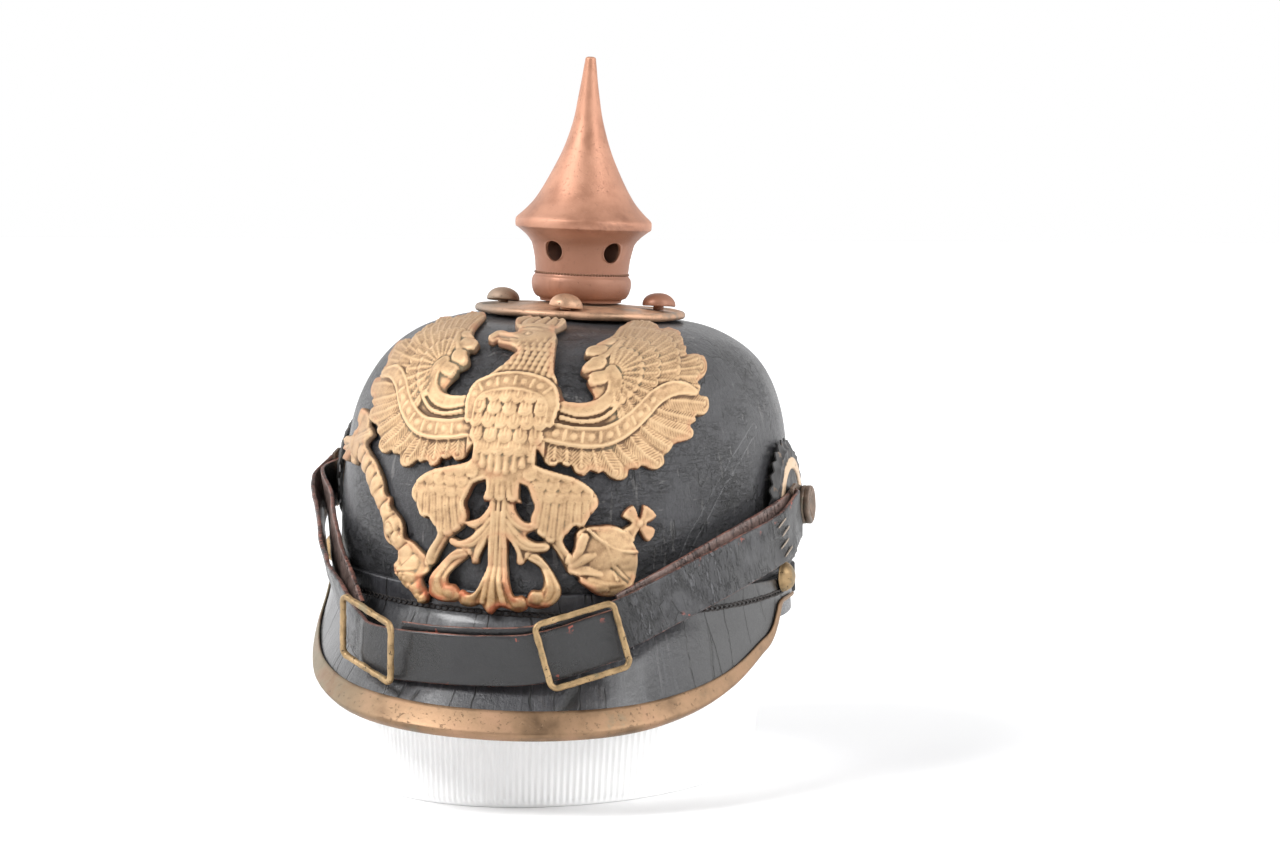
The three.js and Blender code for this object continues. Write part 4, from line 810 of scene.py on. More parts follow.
def spike():
    """Hollow turned cone, flange and neck. Around every hole the neck is a fan of quads: s runs
    from the hole's rim to a straight-sided cell, the cells meet edge to edge all round."""
    columns, side = 16, 12  # steps along a cell's top and along its side
    mean = 18.6  # the neck's radius at the holes, which turns angles into lengths
    low, high = SPIKE_NECK[-1][1], SPIKE_NECK[0][1]
    start = math.radians(FIRST_HOLE) - np.pi / 2
    width = 2 * np.pi / HOLES
    over, up = np.linspace(-1, 1, columns, endpoint=False), np.linspace(-1, 1, side, endpoint=False)
    x = np.concatenate([over, np.ones(side), -over, -np.ones(side)])
    y = np.concatenate([-np.ones(columns), up, np.ones(columns), -up])
    cell = np.stack([x * width / 2, (low + high) / 2 + y * (high - low) / 2], -1)
    rim = unit((cell - [0, HOLE_HEIGHT]) * [mean, 1]) * HOLE_RADIUS / [mean, 1] + [0, HOLE_HEIGHT]
    steps = np.concatenate([[0.0, 0.035, 0.08], np.linspace(0.16, 1, 7)])[:, None, None]
    flat = rim * (1 - steps) + cell * steps
    rise = np.array([0.12, 0.28] + [0.0] * 8)[:, None]  # rolled rim of the hole
    radius = neck_radius(flat[..., 1])
    grids = []
    for k in range(HOLES):
        angle = start + k * width + flat[..., 0]
        outer = spun(radius + rise, angle, flat[..., 1])
        inner = spun(radius - SPIKE_WALL, angle, flat[..., 1])
        grids += [outer, inner, np.stack([inner[0], outer[0]])]
    around = start - width / 2 + circle(HOLES * columns)[None, :]
    cone = np.concatenate([smooth_path(SPIKE_CONE, 4), smooth_path(SPIKE_FLANGE, 2)[1:]])
    foot = smooth_path(SPIKE_FOOT, 3)
    thin = np.array([SPIKE_WALL, 0])
    hollow = cone[cone[:, 0] > 4] - thin
    under = np.concatenate([foot, foot[::-1] - thin])
    grids += [spun(rows[:, :1], around, rows[:, 1:]) for rows in (cone, hollow, under)]
    tidy = bmesh.new()

    def corners(points):
        return [tidy.verts.new(p) for p in points.tolist()]
    for points in grids:
        rings = [corners(ring) for ring in points]
        for near, far in zip(rings[:-1], rings[1:]):
            for j in range(len(near)):
                tidy.faces.new((near[j - 1], near[j], far[j], far[j - 1]))
    for ring, height in ((grids[-3][0], SPIKE_TIP), (grids[-2][0], HOLLOW_TIP)):
        middle = tidy.verts.new((0, 0, height))
        loop = corners(ring)
        for j in range(len(loop)):
            tidy.faces.new((middle, loop[j - 1], loop[j]))
    bmesh.ops.remove_doubles(tidy, verts=tidy.verts, dist=0.004)
    bmesh.ops.recalc_face_normals(tidy, faces=tidy.faces)
    mesh = bpy.data.meshes.new("spike_copper")
    tidy.to_mesh(mesh)
    tidy.free()
    points = np.empty(len(mesh.vertices) * 3)
    mesh.vertices.foreach_get("co", points)
    points = points.reshape(-1, 3)
    points[:, :2] += 0.08 * waves(points, 30, 12)[:, None]
    mesh.vertices.foreach_set("co", to_world(points).ravel())
    place("spike_copper", mesh, COPPER, "copper_toned_brass", "spike", sharp=40)


def spike_seam():
    """Beaded line round the foot of the neck: a thin ring that swells 90 times a turn."""
    turn, around = circle(1080)[:, None], circle(8)[None, :]
    thick = 0.12 + 0.3 * np.abs(np.sin(45 * turn))
    points = spun(SEAM_RADIUS + thick * np.cos(around), turn, SEAM_HEIGHT + thick * np.sin(around))
    Shape().grid(points, wrap=(True, True)).make("spike_seam", SEAM, "copper_toned_brass")


BASE_RADIUS, BASE_RIM, RIM_HEIGHT, COLLAR_RADIUS, COLLAR_HEIGHT = 39.4, 1.5, 108.3, 14.4, 111.2


def base_top(radius):
    """Height of the plate's top, which slopes from the collar to a step inside the rim."""
    share = np.clip((radius - COLLAR_RADIUS) / (BASE_RADIUS - BASE_RIM - COLLAR_RADIUS), 0, 1)
    return COLLAR_HEIGHT - (COLLAR_HEIGHT - RIM_HEIGHT - 0.6) * share


def spike_base():
    """Round plate with a rolled rim, a step near it and a low collar under the spike."""
    angle = np.radians(np.linspace(150, -150, 14))
    rim = [BASE_RADIUS - BASE_RIM, RIM_HEIGHT] + BASE_RIM * np.stack([np.cos(angle), np.sin(angle)], -1)
    radii = np.array([4, 12, 14.4, 17, 20, 24, 28, 32, 35, 36.2])
    top = np.stack([radii, base_top(radii)], -1)
    top[4:9, 1] += 0.1
    radii = np.array([35, 26, 16, 4])
    under = np.stack([radii, base_top(radii) - 1.1], -1)
    points = lathe(np.concatenate([top, rim, under]), 128)
    points[..., 2] += 0.12 * waves(points, 26, 21)
    Shape().grid(points, wrap=(True, True)).make("spike_base_brass", PLATE_BRASS, "worn_brass", "spike_base",
                                                 sharp=45)


def domed(radius, rise, start, low, steps, foot, segments):
    """A domed head spun about Z: its section is a quarter oval over a foot."""
    angle = np.radians(np.linspace(88, low, steps))
    dome = np.stack([radius * np.cos(angle), start + rise * np.sin(angle)], -1)
    return lathe(np.concatenate([dome, foot]), segments)


STUD_PLACE, STUD_TURN = 29.6, 2.5
STUDS = table("name lift tilt material", ("front", 0.9, 5, PLATE_BRASS), ("left", 1.6, 2, COPPER),
              ("rear", 0.9, 0, COPPER), ("right", 0.9, -6, PLATE_BRASS))


def studs():
    """Four domed caps on shanks, each tilted a little and set a quarter turn from the last."""
    seat = base_top(STUD_PLACE) + GAP
    for k, stud in enumerate(STUDS):
        under = seat + stud["lift"]
        foot = [(6.15, under + 0.2), (5.8, under), (2.4, under + 0.1), (1.9, under - 0.1), (1.9, seat)]
        points = domed(radius=6.2, rise=4.4, start=under + 0.5, low=0, steps=12, foot=foot, segments=40)
        points += 0.07 * waves(points, 7, 30 + k)[..., None]
        turn, tilt = math.radians(90 * k + STUD_TURN), math.radians(stud["tilt"])
        x, y, z = np.moveaxis(points - [0, 0, seat], -1, 0)
        x, z = x * math.cos(tilt) + z * math.sin(tilt), z * math.cos(tilt) - x * math.sin(tilt)
        y = y - STUD_PLACE
        points = np.stack([x * math.cos(turn) - y * math.sin(turn), x * math.sin(turn) + y * math.cos(turn),
                           z + seat], -1)
        Shape().grid(points, ends="point").make(
            f"stud_{stud['name']}", stud["material"], "copper_toned_brass", f"plate_stud_{stud['name']}",
            sharp=50)


# ---- side fittings --------------------------------------------------------------------------
# Seats of the side posts; the way the strap leaves them dips by an angle.
SIDES = {
    "left": dict(sign=1, y=-5, height=41, dip=math.radians(15)),
    "right": dict(sign=-1, y=10, height=43, dip=math.radians(18)),
}
RIVET_Y, RIVET_HEIGHT = 17.0, 15.5
TEETH = 28


def post_frame(side):
    """Middle and normal of a side post's seat, and the way its strap leaves it."""
    s = SIDES[side]
    middle, normal = skull_frame(math.atan2(s["sign"] * HALF_WIDTH, -s["y"]), float(s["height"]))
    run = np.array([0, -math.cos(s["dip"]), -math.sin(s["dip"])])
    return middle, normal, run


def cockade(side):
    """Pressed dish with a toothed rim: its radius has 28 notches where it is near the edge."""
    dish = [(3.8, 5.2), (6.2, 5.2), (7, 3.6), (9, 3.4), (13.2, 3.2), (13.6, 3.7), (17.4, 3.4), (17.8, 2.9),
            (20.6, 2.8), (21.4, 1.7), (23.4, 1.2), (24.5, 0.8), (24.5, 0.2), (22.8, 0.6), (20.4, 1.1),
            (12, 1.8), (3.8, 2.2)]
    rings = lathe(dish, TEETH * 6)
    radius = np.linalg.norm(rings[..., :2], axis=-1)
    angle = np.arctan2(rings[..., 1], rings[..., 0])
    tooth = np.abs(((angle * TEETH / (2 * np.pi)) % 1) - 0.5) * 2
    cut = 1.5 * tooth * smoothstep(20.4, 24, radius) / 24.5
    rings[..., :2] *= (1 - cut)[..., None]
    rings[..., 2] += 0.5 + 0.35 * np.cos(angle * TEETH) * smoothstep(19.5, 22, radius)
    Shape().grid(place_on(rings, *post_frame(side)), wrap=(True, True), ring=radius).make(
        f"cockade_{side}_enamel", COCKADE_PAINT, "black_enamel", f"cockade_{side}", sharp=50)


def side_post(side):
    """Turned screw: neck, a thick head with rounded rims, a groove round it and a slotted end."""
    profile = [(0.3, 11.1), (4.6, 11.1), (5.2, 11.4), (6.4, 11.5), (7.0, 11.2), (7.1, 10.8), (7.05, 9.6),
               (6.85, 9.4), (7.1, 9.1), (7.15, 8.4), (7.0, 8.0), (6.5, 7.9), (3.4, 7.9), (3.2, 7.6),
               (3.2, 0.6)]
    points = lathe(profile, 64)
    slot = smoothstep(0.9, 0.6, np.abs(points[..., 0])) * smoothstep(10.5, 11.0, points[..., 2])
    points[..., 2] -= 0.9 * slot * (np.linalg.norm(points[..., :2], axis=-1) < 6.3)
    points += 0.05 * waves(points, 5, 40)[..., None]
    Shape().grid(place_on(points, *post_frame(side)), ends="point").make(
        f"post_{side}_steel", STEEL, "grey_steel", f"side_post_{side}", sharp=45)


def visor_rivet(side):
    """Domed brass head with a pressed lip."""
    middle, normal = skull_frame(math.atan2(SIDES[side]["sign"] * HALF_WIDTH, RIVET_Y), RIVET_HEIGHT)
    start = VISOR_WALL + 2.2 * GAP
    foot = [(5.65, start + 0.35), (5.6, start), (4.9, start - 0.1)]
    points = domed(radius=5.5, rise=4.4, start=start + 0.2, low=4, steps=14, foot=foot, segments=48)
    points += 0.08 * waves(points, 6, 50)[..., None]
    Shape().grid(place_on(points, middle, normal, np.array([0, -1.0, 0])), ends="point").make(
        f"rivet_{side}_brass", BRASS, "worn_brass", f"visor_rivet_{side}", sharp=50)


def squared(angle, power):
    """Cosine and sine of a superellipse: flatter sides and rounder corners as power falls."""
    c, s = np.cos(angle), np.sin(angle)
    return np.sign(c) * np.abs(c) ** power, np.sign(s) * np.abs(s) ** power


def rear_spine():
    """Half-round strip down the back, from under the base plate to the rear visor."""
    rise = np.radians(np.linspace(9.5, 67, 70))[:, None]
    across = circle(20)[None, :]
    points = skull_point(np.pi, rise, GAP + 0.6 + 0.6 * squared(across, 0.7)[1])
    points[..., 0] += 4 * squared(across, 0.6)[0]
    Shape().grid(points).make("rear_spine_brass", BRASS, "worn_brass", "rear_spine", sharp=60)


# ---- chin strap -----------------------------------------------------------------------------
FOLD_RADIUS, FOLD_PLACE, FOLD_INNER = 1.6, 10.0, 5.4
# Middle lines of the strap halves from the posts to the front; lean tips the upper edge outward.
STRAP_ROWS = {
    "left": table(
        "x y z lean", (85.6, -34, 32.6, -6), (77.2, -59.5, 26.4, -8), (66.6, -81.3, 19.6, -8),
        (55.6, -97.7, 12.9, -6), (46.5, -107.8, 7.5, -3), (37, -113.2, 3.2, 0), (27, -118.6, -0.6, 3),
        (15, -122.5, -3.6, 5), (0, -124.2, -4.9, 6), (-17, -122.5, -5.5, 5), (-31, -118, -5.6, 4)),
    "right": table(
        "x y z lean", (-93, -14, 34.2, 12), (-85.6, -36.5, 26.5, 14), (-77.2, -59.5, 18.6, 16),
        (-67.6, -80, 10.4, 20), (-59.4, -93.4, 4.4, 14), (-54.4, -101, -0.8, 8), (-49.4, -107.4, -5, 4),
        (-45.4, -112.8, -7, 4), (-34.2, -119.6, -7.9, 4), (-17, -125.3, -7.7, 5), (0, -127, -7.2, 6),
        (15.5, -125.5, -5.9, 5), (28, -121.8, -2.6, 3), (37.2, -118, 1, 2), (44.6, -114.6, 3.6, 2)),
}


# The end turned back behind each half, row by row: how far inside it lies and how much higher.
TURNED = {
    "left": table("inside rise lean", (1.8, 2.6, -6), (1.8, 2.4, -8), (1.8, 1.8, -8), (2.0, 1.3, -6),
                  (2.2, 0.9, -3)),
    "right": table("inside rise lean", (1.8, 2.8, 10), (2.6, 3.4, 2), (2.9, 3.4, 2), (2.9, 3.4, 4),
                   (2.6, 2.8, 6), (2, 1.6, 4)),
}


def strap_path(side):
    """Middle and width direction along a strap half: from the end turned back behind it, round
    the lug's bar, to its front end."""
    middle, normal, run = post_frame(side)
    along = unit(run - normal * (run @ normal))
    level = np.cross(along, normal) * SIDES[side]["sign"]
    rows, turned = STRAP_ROWS[side], TURNED[side]
    marks = np.array([[row["x"], row["y"], row["z"]] for row in rows], float)
    before = np.concatenate([middle[None] + normal * FOLD_INNER, marks[:-1]])
    tangent = unit(np.concatenate([marks[1:], marks[-1:]]) - before)
    upright = unit(np.array([0, 0, 1.0]) - tangent * tangent[:, 2:])
    outward = np.cross(tangent, upright)
    outward *= np.sign(np.sum(outward * marks * [1, 1, 0], -1))[:, None]
    count = len(turned)

    def tipped(rows):
        lean = np.radians([row["lean"] for row in rows])[:, None]
        return upright[:len(rows)] * np.cos(lean) + outward[:len(rows)] * np.sin(lean)
    behind_width = tipped(turned)
    inside, rise = (np.array([row[key] for row in turned])[:, None] for key in ("inside", "rise"))
    behind = marks[:count] - outward[:count] * inside + behind_width * rise
    turn = np.radians([180, 135, 90, 45, 0])
    ahead = np.concatenate([[3], -FOLD_RADIUS * np.sin(turn), [3]]) + FOLD_PLACE
    away = np.concatenate([[0], FOLD_RADIUS * (1 + np.cos(turn)), [2 * FOLD_RADIUS]]) + FOLD_INNER
    fold = middle + ahead[:, None] * along + away[:, None] * normal
    shift = FOLD_RADIUS * np.clip(1 - np.arange(len(marks)) / count, 0, 1)
    middles = np.concatenate([behind[::-1], fold, marks + outward * shift[:, None]])
    widths = np.concatenate([behind_width[::-1], [level] * len(fold), tipped(rows)])
    return middles, widths


def strap(side):
    """A flat band with rounded edges carried along its path; the section is a rounded slot 18 by
    1.6 mm, rippled a little along the run."""
    middles, widths = strap_path(side)
    line = smooth_path(middles, 12)
    tangent = unit(np.gradient(line, axis=0))
    where = np.linspace(0, len(widths) - 1, len(line))
    width = between(where, np.arange(len(widths)), widths)
    width = unit(width - tangent * np.sum(width * tangent, -1, keepdims=True))
    facing = np.cross(tangent, width)
    glazed = np.sign(facing[-1] @ (line[-1] * [1, 1, 0]))
    half, thick, corner = STRAP_WIDTH / 2, STRAP_WALL / 2, 0.55  # corner: length of the rounding
    flat = np.linspace(-1, 1, 15)
    bend = np.radians(np.linspace(90, -90, 7))[1:-1]
    top = np.stack([flat * (half - corner), np.full(15, thick)], -1)
    right = np.stack([half - corner + corner * np.cos(bend), thick * np.sin(bend)], -1)
    section = np.concatenate([top, right, -top, -right])
    a, b = section[:, 0][None, :, None], section[:, 1][None, :, None]
    points = line[:, None] + width[:, None] * a + facing[:, None] * b
    ripple = 0.12 * waves(points, 9, 60) + 0.18 * waves(points, 28, 61)
    points = points + facing[:, None] * ripple[..., None]
    Shape().grid(points, face=np.sign(b[..., 0]) * glazed, edge=np.abs(a[..., 0]) / half).make(
        f"strap_{side}_leather", STRAP_LEATHER, "strap_leather", f"strap_{side}", sharp=60)
    strap_stitches(side, line, width, facing * glazed, where)


def strap_stitches(side, line, width, outward, where):
    """Four slanting stitches that hold the turned end, each a thread with round ends: its radius
    is r sqrt(1 - 0.98 s^4) for s from -1 to 1 along it. They stand one row past the fold."""
    shape = Shape()
    place = len(TURNED[side]) + 7.0
    s, angle = np.linspace(-1, 1, 9)[:, None, None], circle(8)[None, :, None]
    radius = 0.34 * np.sqrt(1 - 0.98 * s ** 4)
    for k, across in enumerate((-6.0, -2.2, 1.8, 5.6)):
        i = int(np.searchsorted(where, place + 0.05 * (k % 2)))
        along = unit(unit(line[i + 1] - line[i - 1]) * -0.97 + width[i] * 0.2)
        beside = np.cross(outward[i], along)
        centre = line[i] + width[i] * across + outward[i] * (STRAP_WALL / 2 + 0.12)
        shape.grid(centre + along * s * 4.0 + radius * (np.cos(angle) * beside + np.sin(angle) * outward[i]))
    shape.make(f"strap_{side}_stitches", PALE_THREAD, "black_leather")


BUCKLES = {
    "left": dict(middle=(34.1, -122.7, -0.2), long=(0.877, 0.373, 0.302), tall=(-0.314, -0.057, 0.947)),
    "right": dict(middle=(-43.6, -119.6, -3.7), long=(0.782, -0.569, -0.249), tall=(0.069, -0.329, 0.941)),
}
BUCKLE_LENGTH, BUCKLE_WIDTH, BUCKLE_BAR, BUCKLE_WALL, BUCKLE_CORNER = 30.6, 25.0, 2.2, 2.1, 2.4


def buckle(side):
    """Wire frame: an oval section carried round a rectangle with rounded corners, hammered a
    little uneven."""
    b = BUCKLES[side]
    long = unit(np.array(b["long"]))
    out = unit(np.cross(long, b["tall"]))
    tall = np.cross(out, long)
    half_long = (BUCKLE_LENGTH - BUCKLE_BAR) / 2 - BUCKLE_CORNER
    half_tall = (BUCKLE_WIDTH - BUCKLE_BAR) / 2 - BUCKLE_CORNER
    centres, aways = [], []
    for sx, sy, start in ((1, 1, 0), (-1, 1, 90), (-1, -1, 180), (1, -1, 270), (1, 1, 0)):
        angle = np.radians(start + np.linspace(0, 90, 9))[:, None]
        away = long * np.cos(angle) + tall * np.sin(angle)
        centres.append(b["middle"] + long * sx * half_long + tall * sy * half_tall + away * BUCKLE_CORNER)
        aways.append(away)
    centres, aways = (np.concatenate(rows)[:4 * 9 + 1] for rows in (centres, aways))
    steps = run_along(centres)
    even = np.union1d(steps[:-1], np.arange(0, steps[-1], 0.9))
    line, away = between(even, steps, centres)[:, None], unit(between(even, steps, aways))[:, None]
    c, s = squared(circle(14)[None, :, None], 0.75)
    points = line + away * BUCKLE_BAR / 2 * c + out * BUCKLE_WALL / 2 * s
    points += 0.10 * waves(points, 3.5, 70)[..., None] * (away * c + out * s)
    Shape().grid(points, wrap=(True, True)).make(
        f"buckle_{side}_brass", BRASS, "worn_brass", f"buckle_{side}", sharp=60)


# ---- front plate ----------------------------------------------------------------------------
PLATE_REACH, PLATE_BACKING, PLATE_LIFT = 112.0, 0.45, 3.2


def on_plate(u, v, depth):
    """Flat plate coordinates to the helmet: v is the arc from the brim and u the arc across, laid
    along the skull's normal, the foot lifted over the visor's flange."""
    rise = v / PLATE_REACH
    c, s = np.cos(rise), np.sin(rise)
    k = (c ** FRONT_POWER + s ** FRONT_POWER) ** (-1 / FRONT_POWER)
    lift = PLATE_LIFT * (1 - smoothstep(18, 24, v))
    return skull_point(u / (HALF_LENGTH * c * k), rise, PLATE_BACKING + lift + depth)


STAMPING_DEPTH = 0.7  # share of the drawn detail that the soft old stamping shows
BROAD, NEAR = 7, 3  # cells each way of the means that detail and high parts are told from
PLATE_EDGE, PLATE_ROUND = 0.7, 0.9  # height of the plate's edge, and how wide it is rounded off
BARB_PITCH = 1.25
PLATE_CELL, BACK_BLOCK = 0.4, 8  # grid of the front, and front cells to one face of the back
TWIN = 0.965  # the wing on the wearer's right is this much narrower

# Outlines of the parts laid flat: across and up from the front middle of the brim. A part with a
# twin is repeated on the other side, its width scaled by that number.
OUTLINES = [
    dict(part="wing", height=2.2, twin=TWIN, outline=[
        (9, 66), (11.5, 62), (13.5, 60), (14.2, 58.6), (16, 57.4), (18, 57.2), (19.5, 58.4),
        (21, 57.6), (22.5, 57.2), (23.6, 57.6), (25, 55.6), (27, 54.7), (28.8, 54.7), (30.4, 56.2),
        (31.8, 55.9), (33.5, 55.4), (35.2, 56), (38, 54), (40.5, 53.3), (42.8, 53.4), (44.5, 54.6),
        (44.9, 56.8), (48, 56.8), (49.8, 57.8), (53.5, 56.6), (56, 56.6), (58.2, 57.6), (59.5, 59.2),
        (58.8, 60.8), (61, 62.4), (62, 64), (64, 64.8), (70, 65.8), (71.4, 67), (71, 69), (69.5, 70.3),
        (72.3, 71.6), (71.4, 73), (75.5, 73.1), (77.8, 74.5), (78.4, 77), (77, 79.4), (72.2, 80.8),
        (72.8, 83), (71, 84.8), (74.6, 87), (76, 89.5), (76, 92), (74.6, 94.8), (72, 96.6),
        (69.5, 97.5), (63.6, 97.6), (63.4, 101), (61.8, 103.4), (60.5, 109.6), (58, 112.8),
        (55, 114.6), (51.5, 115), (48.4, 114.6), (46, 119), (42, 123.4), (38, 126), (33, 126),
        (29.8, 123), (28, 117), (27.2, 109.6), (25, 104.5), (20.3, 100.8), (19.9, 98.5), (20.8, 96.3),
        (23, 95.5), (20.8, 91.5), (21.3, 89), (24.2, 87), (24, 85.5), (27.6, 81), (27.8, 79.6),
        (24, 78.2), (18, 79), (15, 84), (9, 84)]),
    dict(part="wing ribbon", height=3.4, twin=TWIN, outline=[
        (12, 66), (15, 64.3), (20, 63.8), (27, 63.3), (33, 63), (38, 64), (43, 67), (48, 71),
        (53, 75.5), (56, 78.5), (60, 80), (65, 80), (69, 79.6), (71, 80.6), (69, 82), (65, 83.8),
        (60, 85.3), (55, 85), (50, 83.3), (46, 80), (42, 76), (38, 72.5), (34, 70.5), (28, 69.8),
        (22, 70), (18, 71), (16, 73.6), (15.6, 80), (13, 84.4), (10, 80), (12, 75)]),
    dict(part="shoulder", height=3, twin=TWIN, outline=[
        (16.8, 77.5), (17.4, 74.6), (25, 72.3), (32, 73.5), (36, 78), (36.4, 84), (33.6, 88), (31, 94),
        (25, 95.6), (21.4, 92), (22, 89.4), (25, 87.8), (24.8, 85.6), (28.6, 81.4), (28.6, 79.2),
        (26.8, 77.8), (22, 78.2), (18.4, 78.6)]),
    dict(part="breast ribbon", height=4.8, twin=0, outline=[
        (-14, 72), (-15, 80), (-13.6, 83.4), (-8, 86.3), (0, 87.5), (8, 86.3), (13.4, 84), (15.6, 80),
        (15.2, 73), (12, 70), (-12, 70)]),
    dict(part="breast", height=4.2, twin=0, outline=[
        (-13, 75), (-12.6, 66), (-10.6, 62), (-10.8, 57.4), (-5, 53), (5.6, 52.6), (11.6, 57.8),
        (11.4, 62), (13, 66), (13.4, 75)]),
    dict(part="neck and head", height=3.6, twin=0, outline=[
        (-12, 84), (-9, 87.5), (-6.5, 90.5), (-5, 94), (-3.4, 97), (-6.4, 99.6), (-12, 101.4),
        (-12.6, 103), (-14.2, 101.6), (-16.5, 102.3), (-16.8, 105), (-15, 107.4), (-12, 108.2),
        (-7.6, 107.2), (-6.6, 110), (-8.6, 113), (-10.6, 117), (-10.8, 121), (-8, 124), (0, 125),
        (6, 123.6), (8, 120), (7.4, 116), (6, 112.6), (8, 108), (9, 103), (10, 98), (10.8, 94),
        (12, 89), (14.4, 84)]),
    dict(part="thigh", height=3.8, twin=1, outline=[
        (9, 60), (12, 57.6), (20, 55.4), (25, 54.2), (29, 52.4), (32, 50.2), (34, 48), (34.4, 45.6),
        (31.4, 41.6), (29.2, 38.2), (27.4, 37.6), (26.4, 38.4), (24, 36), (22.4, 33.4), (26, 28),
        (27.6, 24.6), (24.6, 21.6), (21.4, 27), (18.4, 31.4), (15.6, 33.6), (13, 35.6), (11.3, 38),
        (10.9, 41), (12, 44), (10.8, 47), (9, 50.4), (4, 52.6)]),
    dict(part="tail top", height=3.2, twin=0, outline=[
        (-5, 54), (-4.9, 49), (-5.8, 45.2), (-3.5, 45), (-4.5, 42.5), (-7, 39.8), (-10.5, 38.6),
        (-12.5, 38.2), (-11.3, 36.6), (-8.5, 35.2), (-11.5, 32.6), (-14, 31.8), (-17.6, 33),
        (-18, 30.6), (-16, 29), (-11.8, 28), (-10, 26), (-9.5, 23.8), (-7, 24), (-6.3, 26.3), (-5, 29),
        (-2.7, 32), (2.8, 33.3), (5, 31), (6.3, 28), (6.3, 25), (8, 24.3), (10, 26), (11.8, 28.4),
        (16, 29), (18, 30.8), (17.4, 33.4), (15, 33), (13, 33), (9.8, 34.8), (11.6, 36), (14, 37.6),
        (12, 39.2), (9, 39.5), (6.5, 42), (5.5, 45), (7.8, 45.2), (7, 47.5), (6.3, 54)]),
    dict(part="tail shaft", height=3, twin=0, outline=[
        (-2.9, 36), (-3.6, 25), (-5, 19), (-7, 15), (-9, 13.6), (-12, 14.8), (-13.8, 12.5),
        (-12.5, 9.5), (-9, 8.7), (-5.4, 10), (-4.4, 8.6), (-2, 6.5), (0, 8.6), (1.6, 9.4), (4, 8.8),
        (7.5, 7.9), (10.3, 9.6), (10.3, 12.5), (8.5, 14.2), (6, 13.8), (4.6, 18), (3.5, 25), (2.9, 36)]),
    dict(part="tail loop", height=3, twin=0, outline=[
        (-10.4, 26.6), (-12.4, 29.4), (-16, 28.2), (-20, 24.8), (-23, 20.4), (-24.6, 15.4),
        (-24.5, 12), (-21, 10), (-17, 9.8), (-13.4, 10.6), (-12.6, 13.6), (-14.6, 16.4), (-17, 16.6),
        (-17, 19.5), (-14.5, 23)]),
    dict(part="tail loop", height=3, twin=0, outline=[
        (10, 26.6), (12, 29.4), (14.4, 28.4), (17.5, 25), (20, 21), (21.6, 16.5), (20.5, 13),
        (17, 10.2), (13, 9.6), (9.8, 10.8), (10, 13), (11.6, 16.2), (14.8, 16.4), (15.6, 20), (14, 24)]),
    dict(part="sceptre", height=3.2, twin=0, outline=[
        (-25.2, 9), (-24.8, 12), (-27.4, 17), (-24.8, 20), (-26.8, 24.4), (-30, 26.8), (-34, 29.3),
        (-37.5, 30.5), (-38.8, 35), (-40.5, 37), (-45.5, 40.5), (-46.4, 43), (-48.2, 43.6), (-50, 46),
        (-51.5, 48.8), (-55, 51.8), (-58, 54), (-62.5, 56.2), (-66.3, 58.2), (-64, 60), (-61.6, 61.8),
        (-63.6, 63.6), (-66.6, 64.6), (-68, 66.8), (-71, 68.4), (-75.6, 69.2), (-78.6, 67.6), (-78, 65),
        (-75.4, 63.4), (-79, 61.2), (-85, 59.8), (-90, 59.2), (-93.5, 57.6), (-90.4, 55.8), (-92, 54.4),
        (-87.5, 54), (-89, 51.6), (-84.6, 51.2), (-81.4, 53), (-78, 51.6), (-74, 50.8), (-73, 53.4),
        (-69.6, 52), (-66.5, 49.6), (-62.5, 47.7), (-61, 44.6), (-58.5, 42.3), (-55, 40.6), (-54, 38.3),
        (-51, 37), (-50, 31), (-48.8, 28.8), (-46, 26.8), (-42, 26.3), (-40.5, 24.5), (-40.6, 19),
        (-37, 16), (-35, 13.5), (-31.5, 12), (-30, 9.5), (-28, 8)]),
    dict(part="orb", height=4.6, twin=0, outline=[
        (24, 24), (25, 22), (27.3, 20.8), (27.3, 19.6), (30.5, 17), (33, 15.2), (37, 14.4), (41, 15),
        (45.2, 17.2), (46.6, 19.6), (48.6, 22.6), (49.4, 26.6), (49, 30.4), (47.4, 33.4), (43, 38),
        (39, 39.2), (35, 39), (28.5, 38.2), (26.4, 36), (26, 31.5), (24.6, 28)]),
    dict(part="orb cross", height=2.8, twin=0, outline=[
        (42, 36), (43.6, 38), (46.6, 39.6), (43, 41.8), (47, 45.6), (48.5, 44), (49.8, 41.4),
        (50.9, 43.4), (51.4, 45.7), (57, 42), (55.4, 40.2), (52.8, 39.1), (55, 38.5), (56.5, 37.5),
        (55.5, 34.5), (53.5, 33.2), (51.2, 35), (49.8, 36.8), (47.6, 33)]),
]


def mirrored(points, side):
    """Points across and up, on one side (1) or the other (-1 or a little less)."""
    return [(side * u, v) for u, v in points]


def across_from(ahead):
    """Direction to the left of a direction in the plate."""
    return np.array([-ahead[1], ahead[0]])


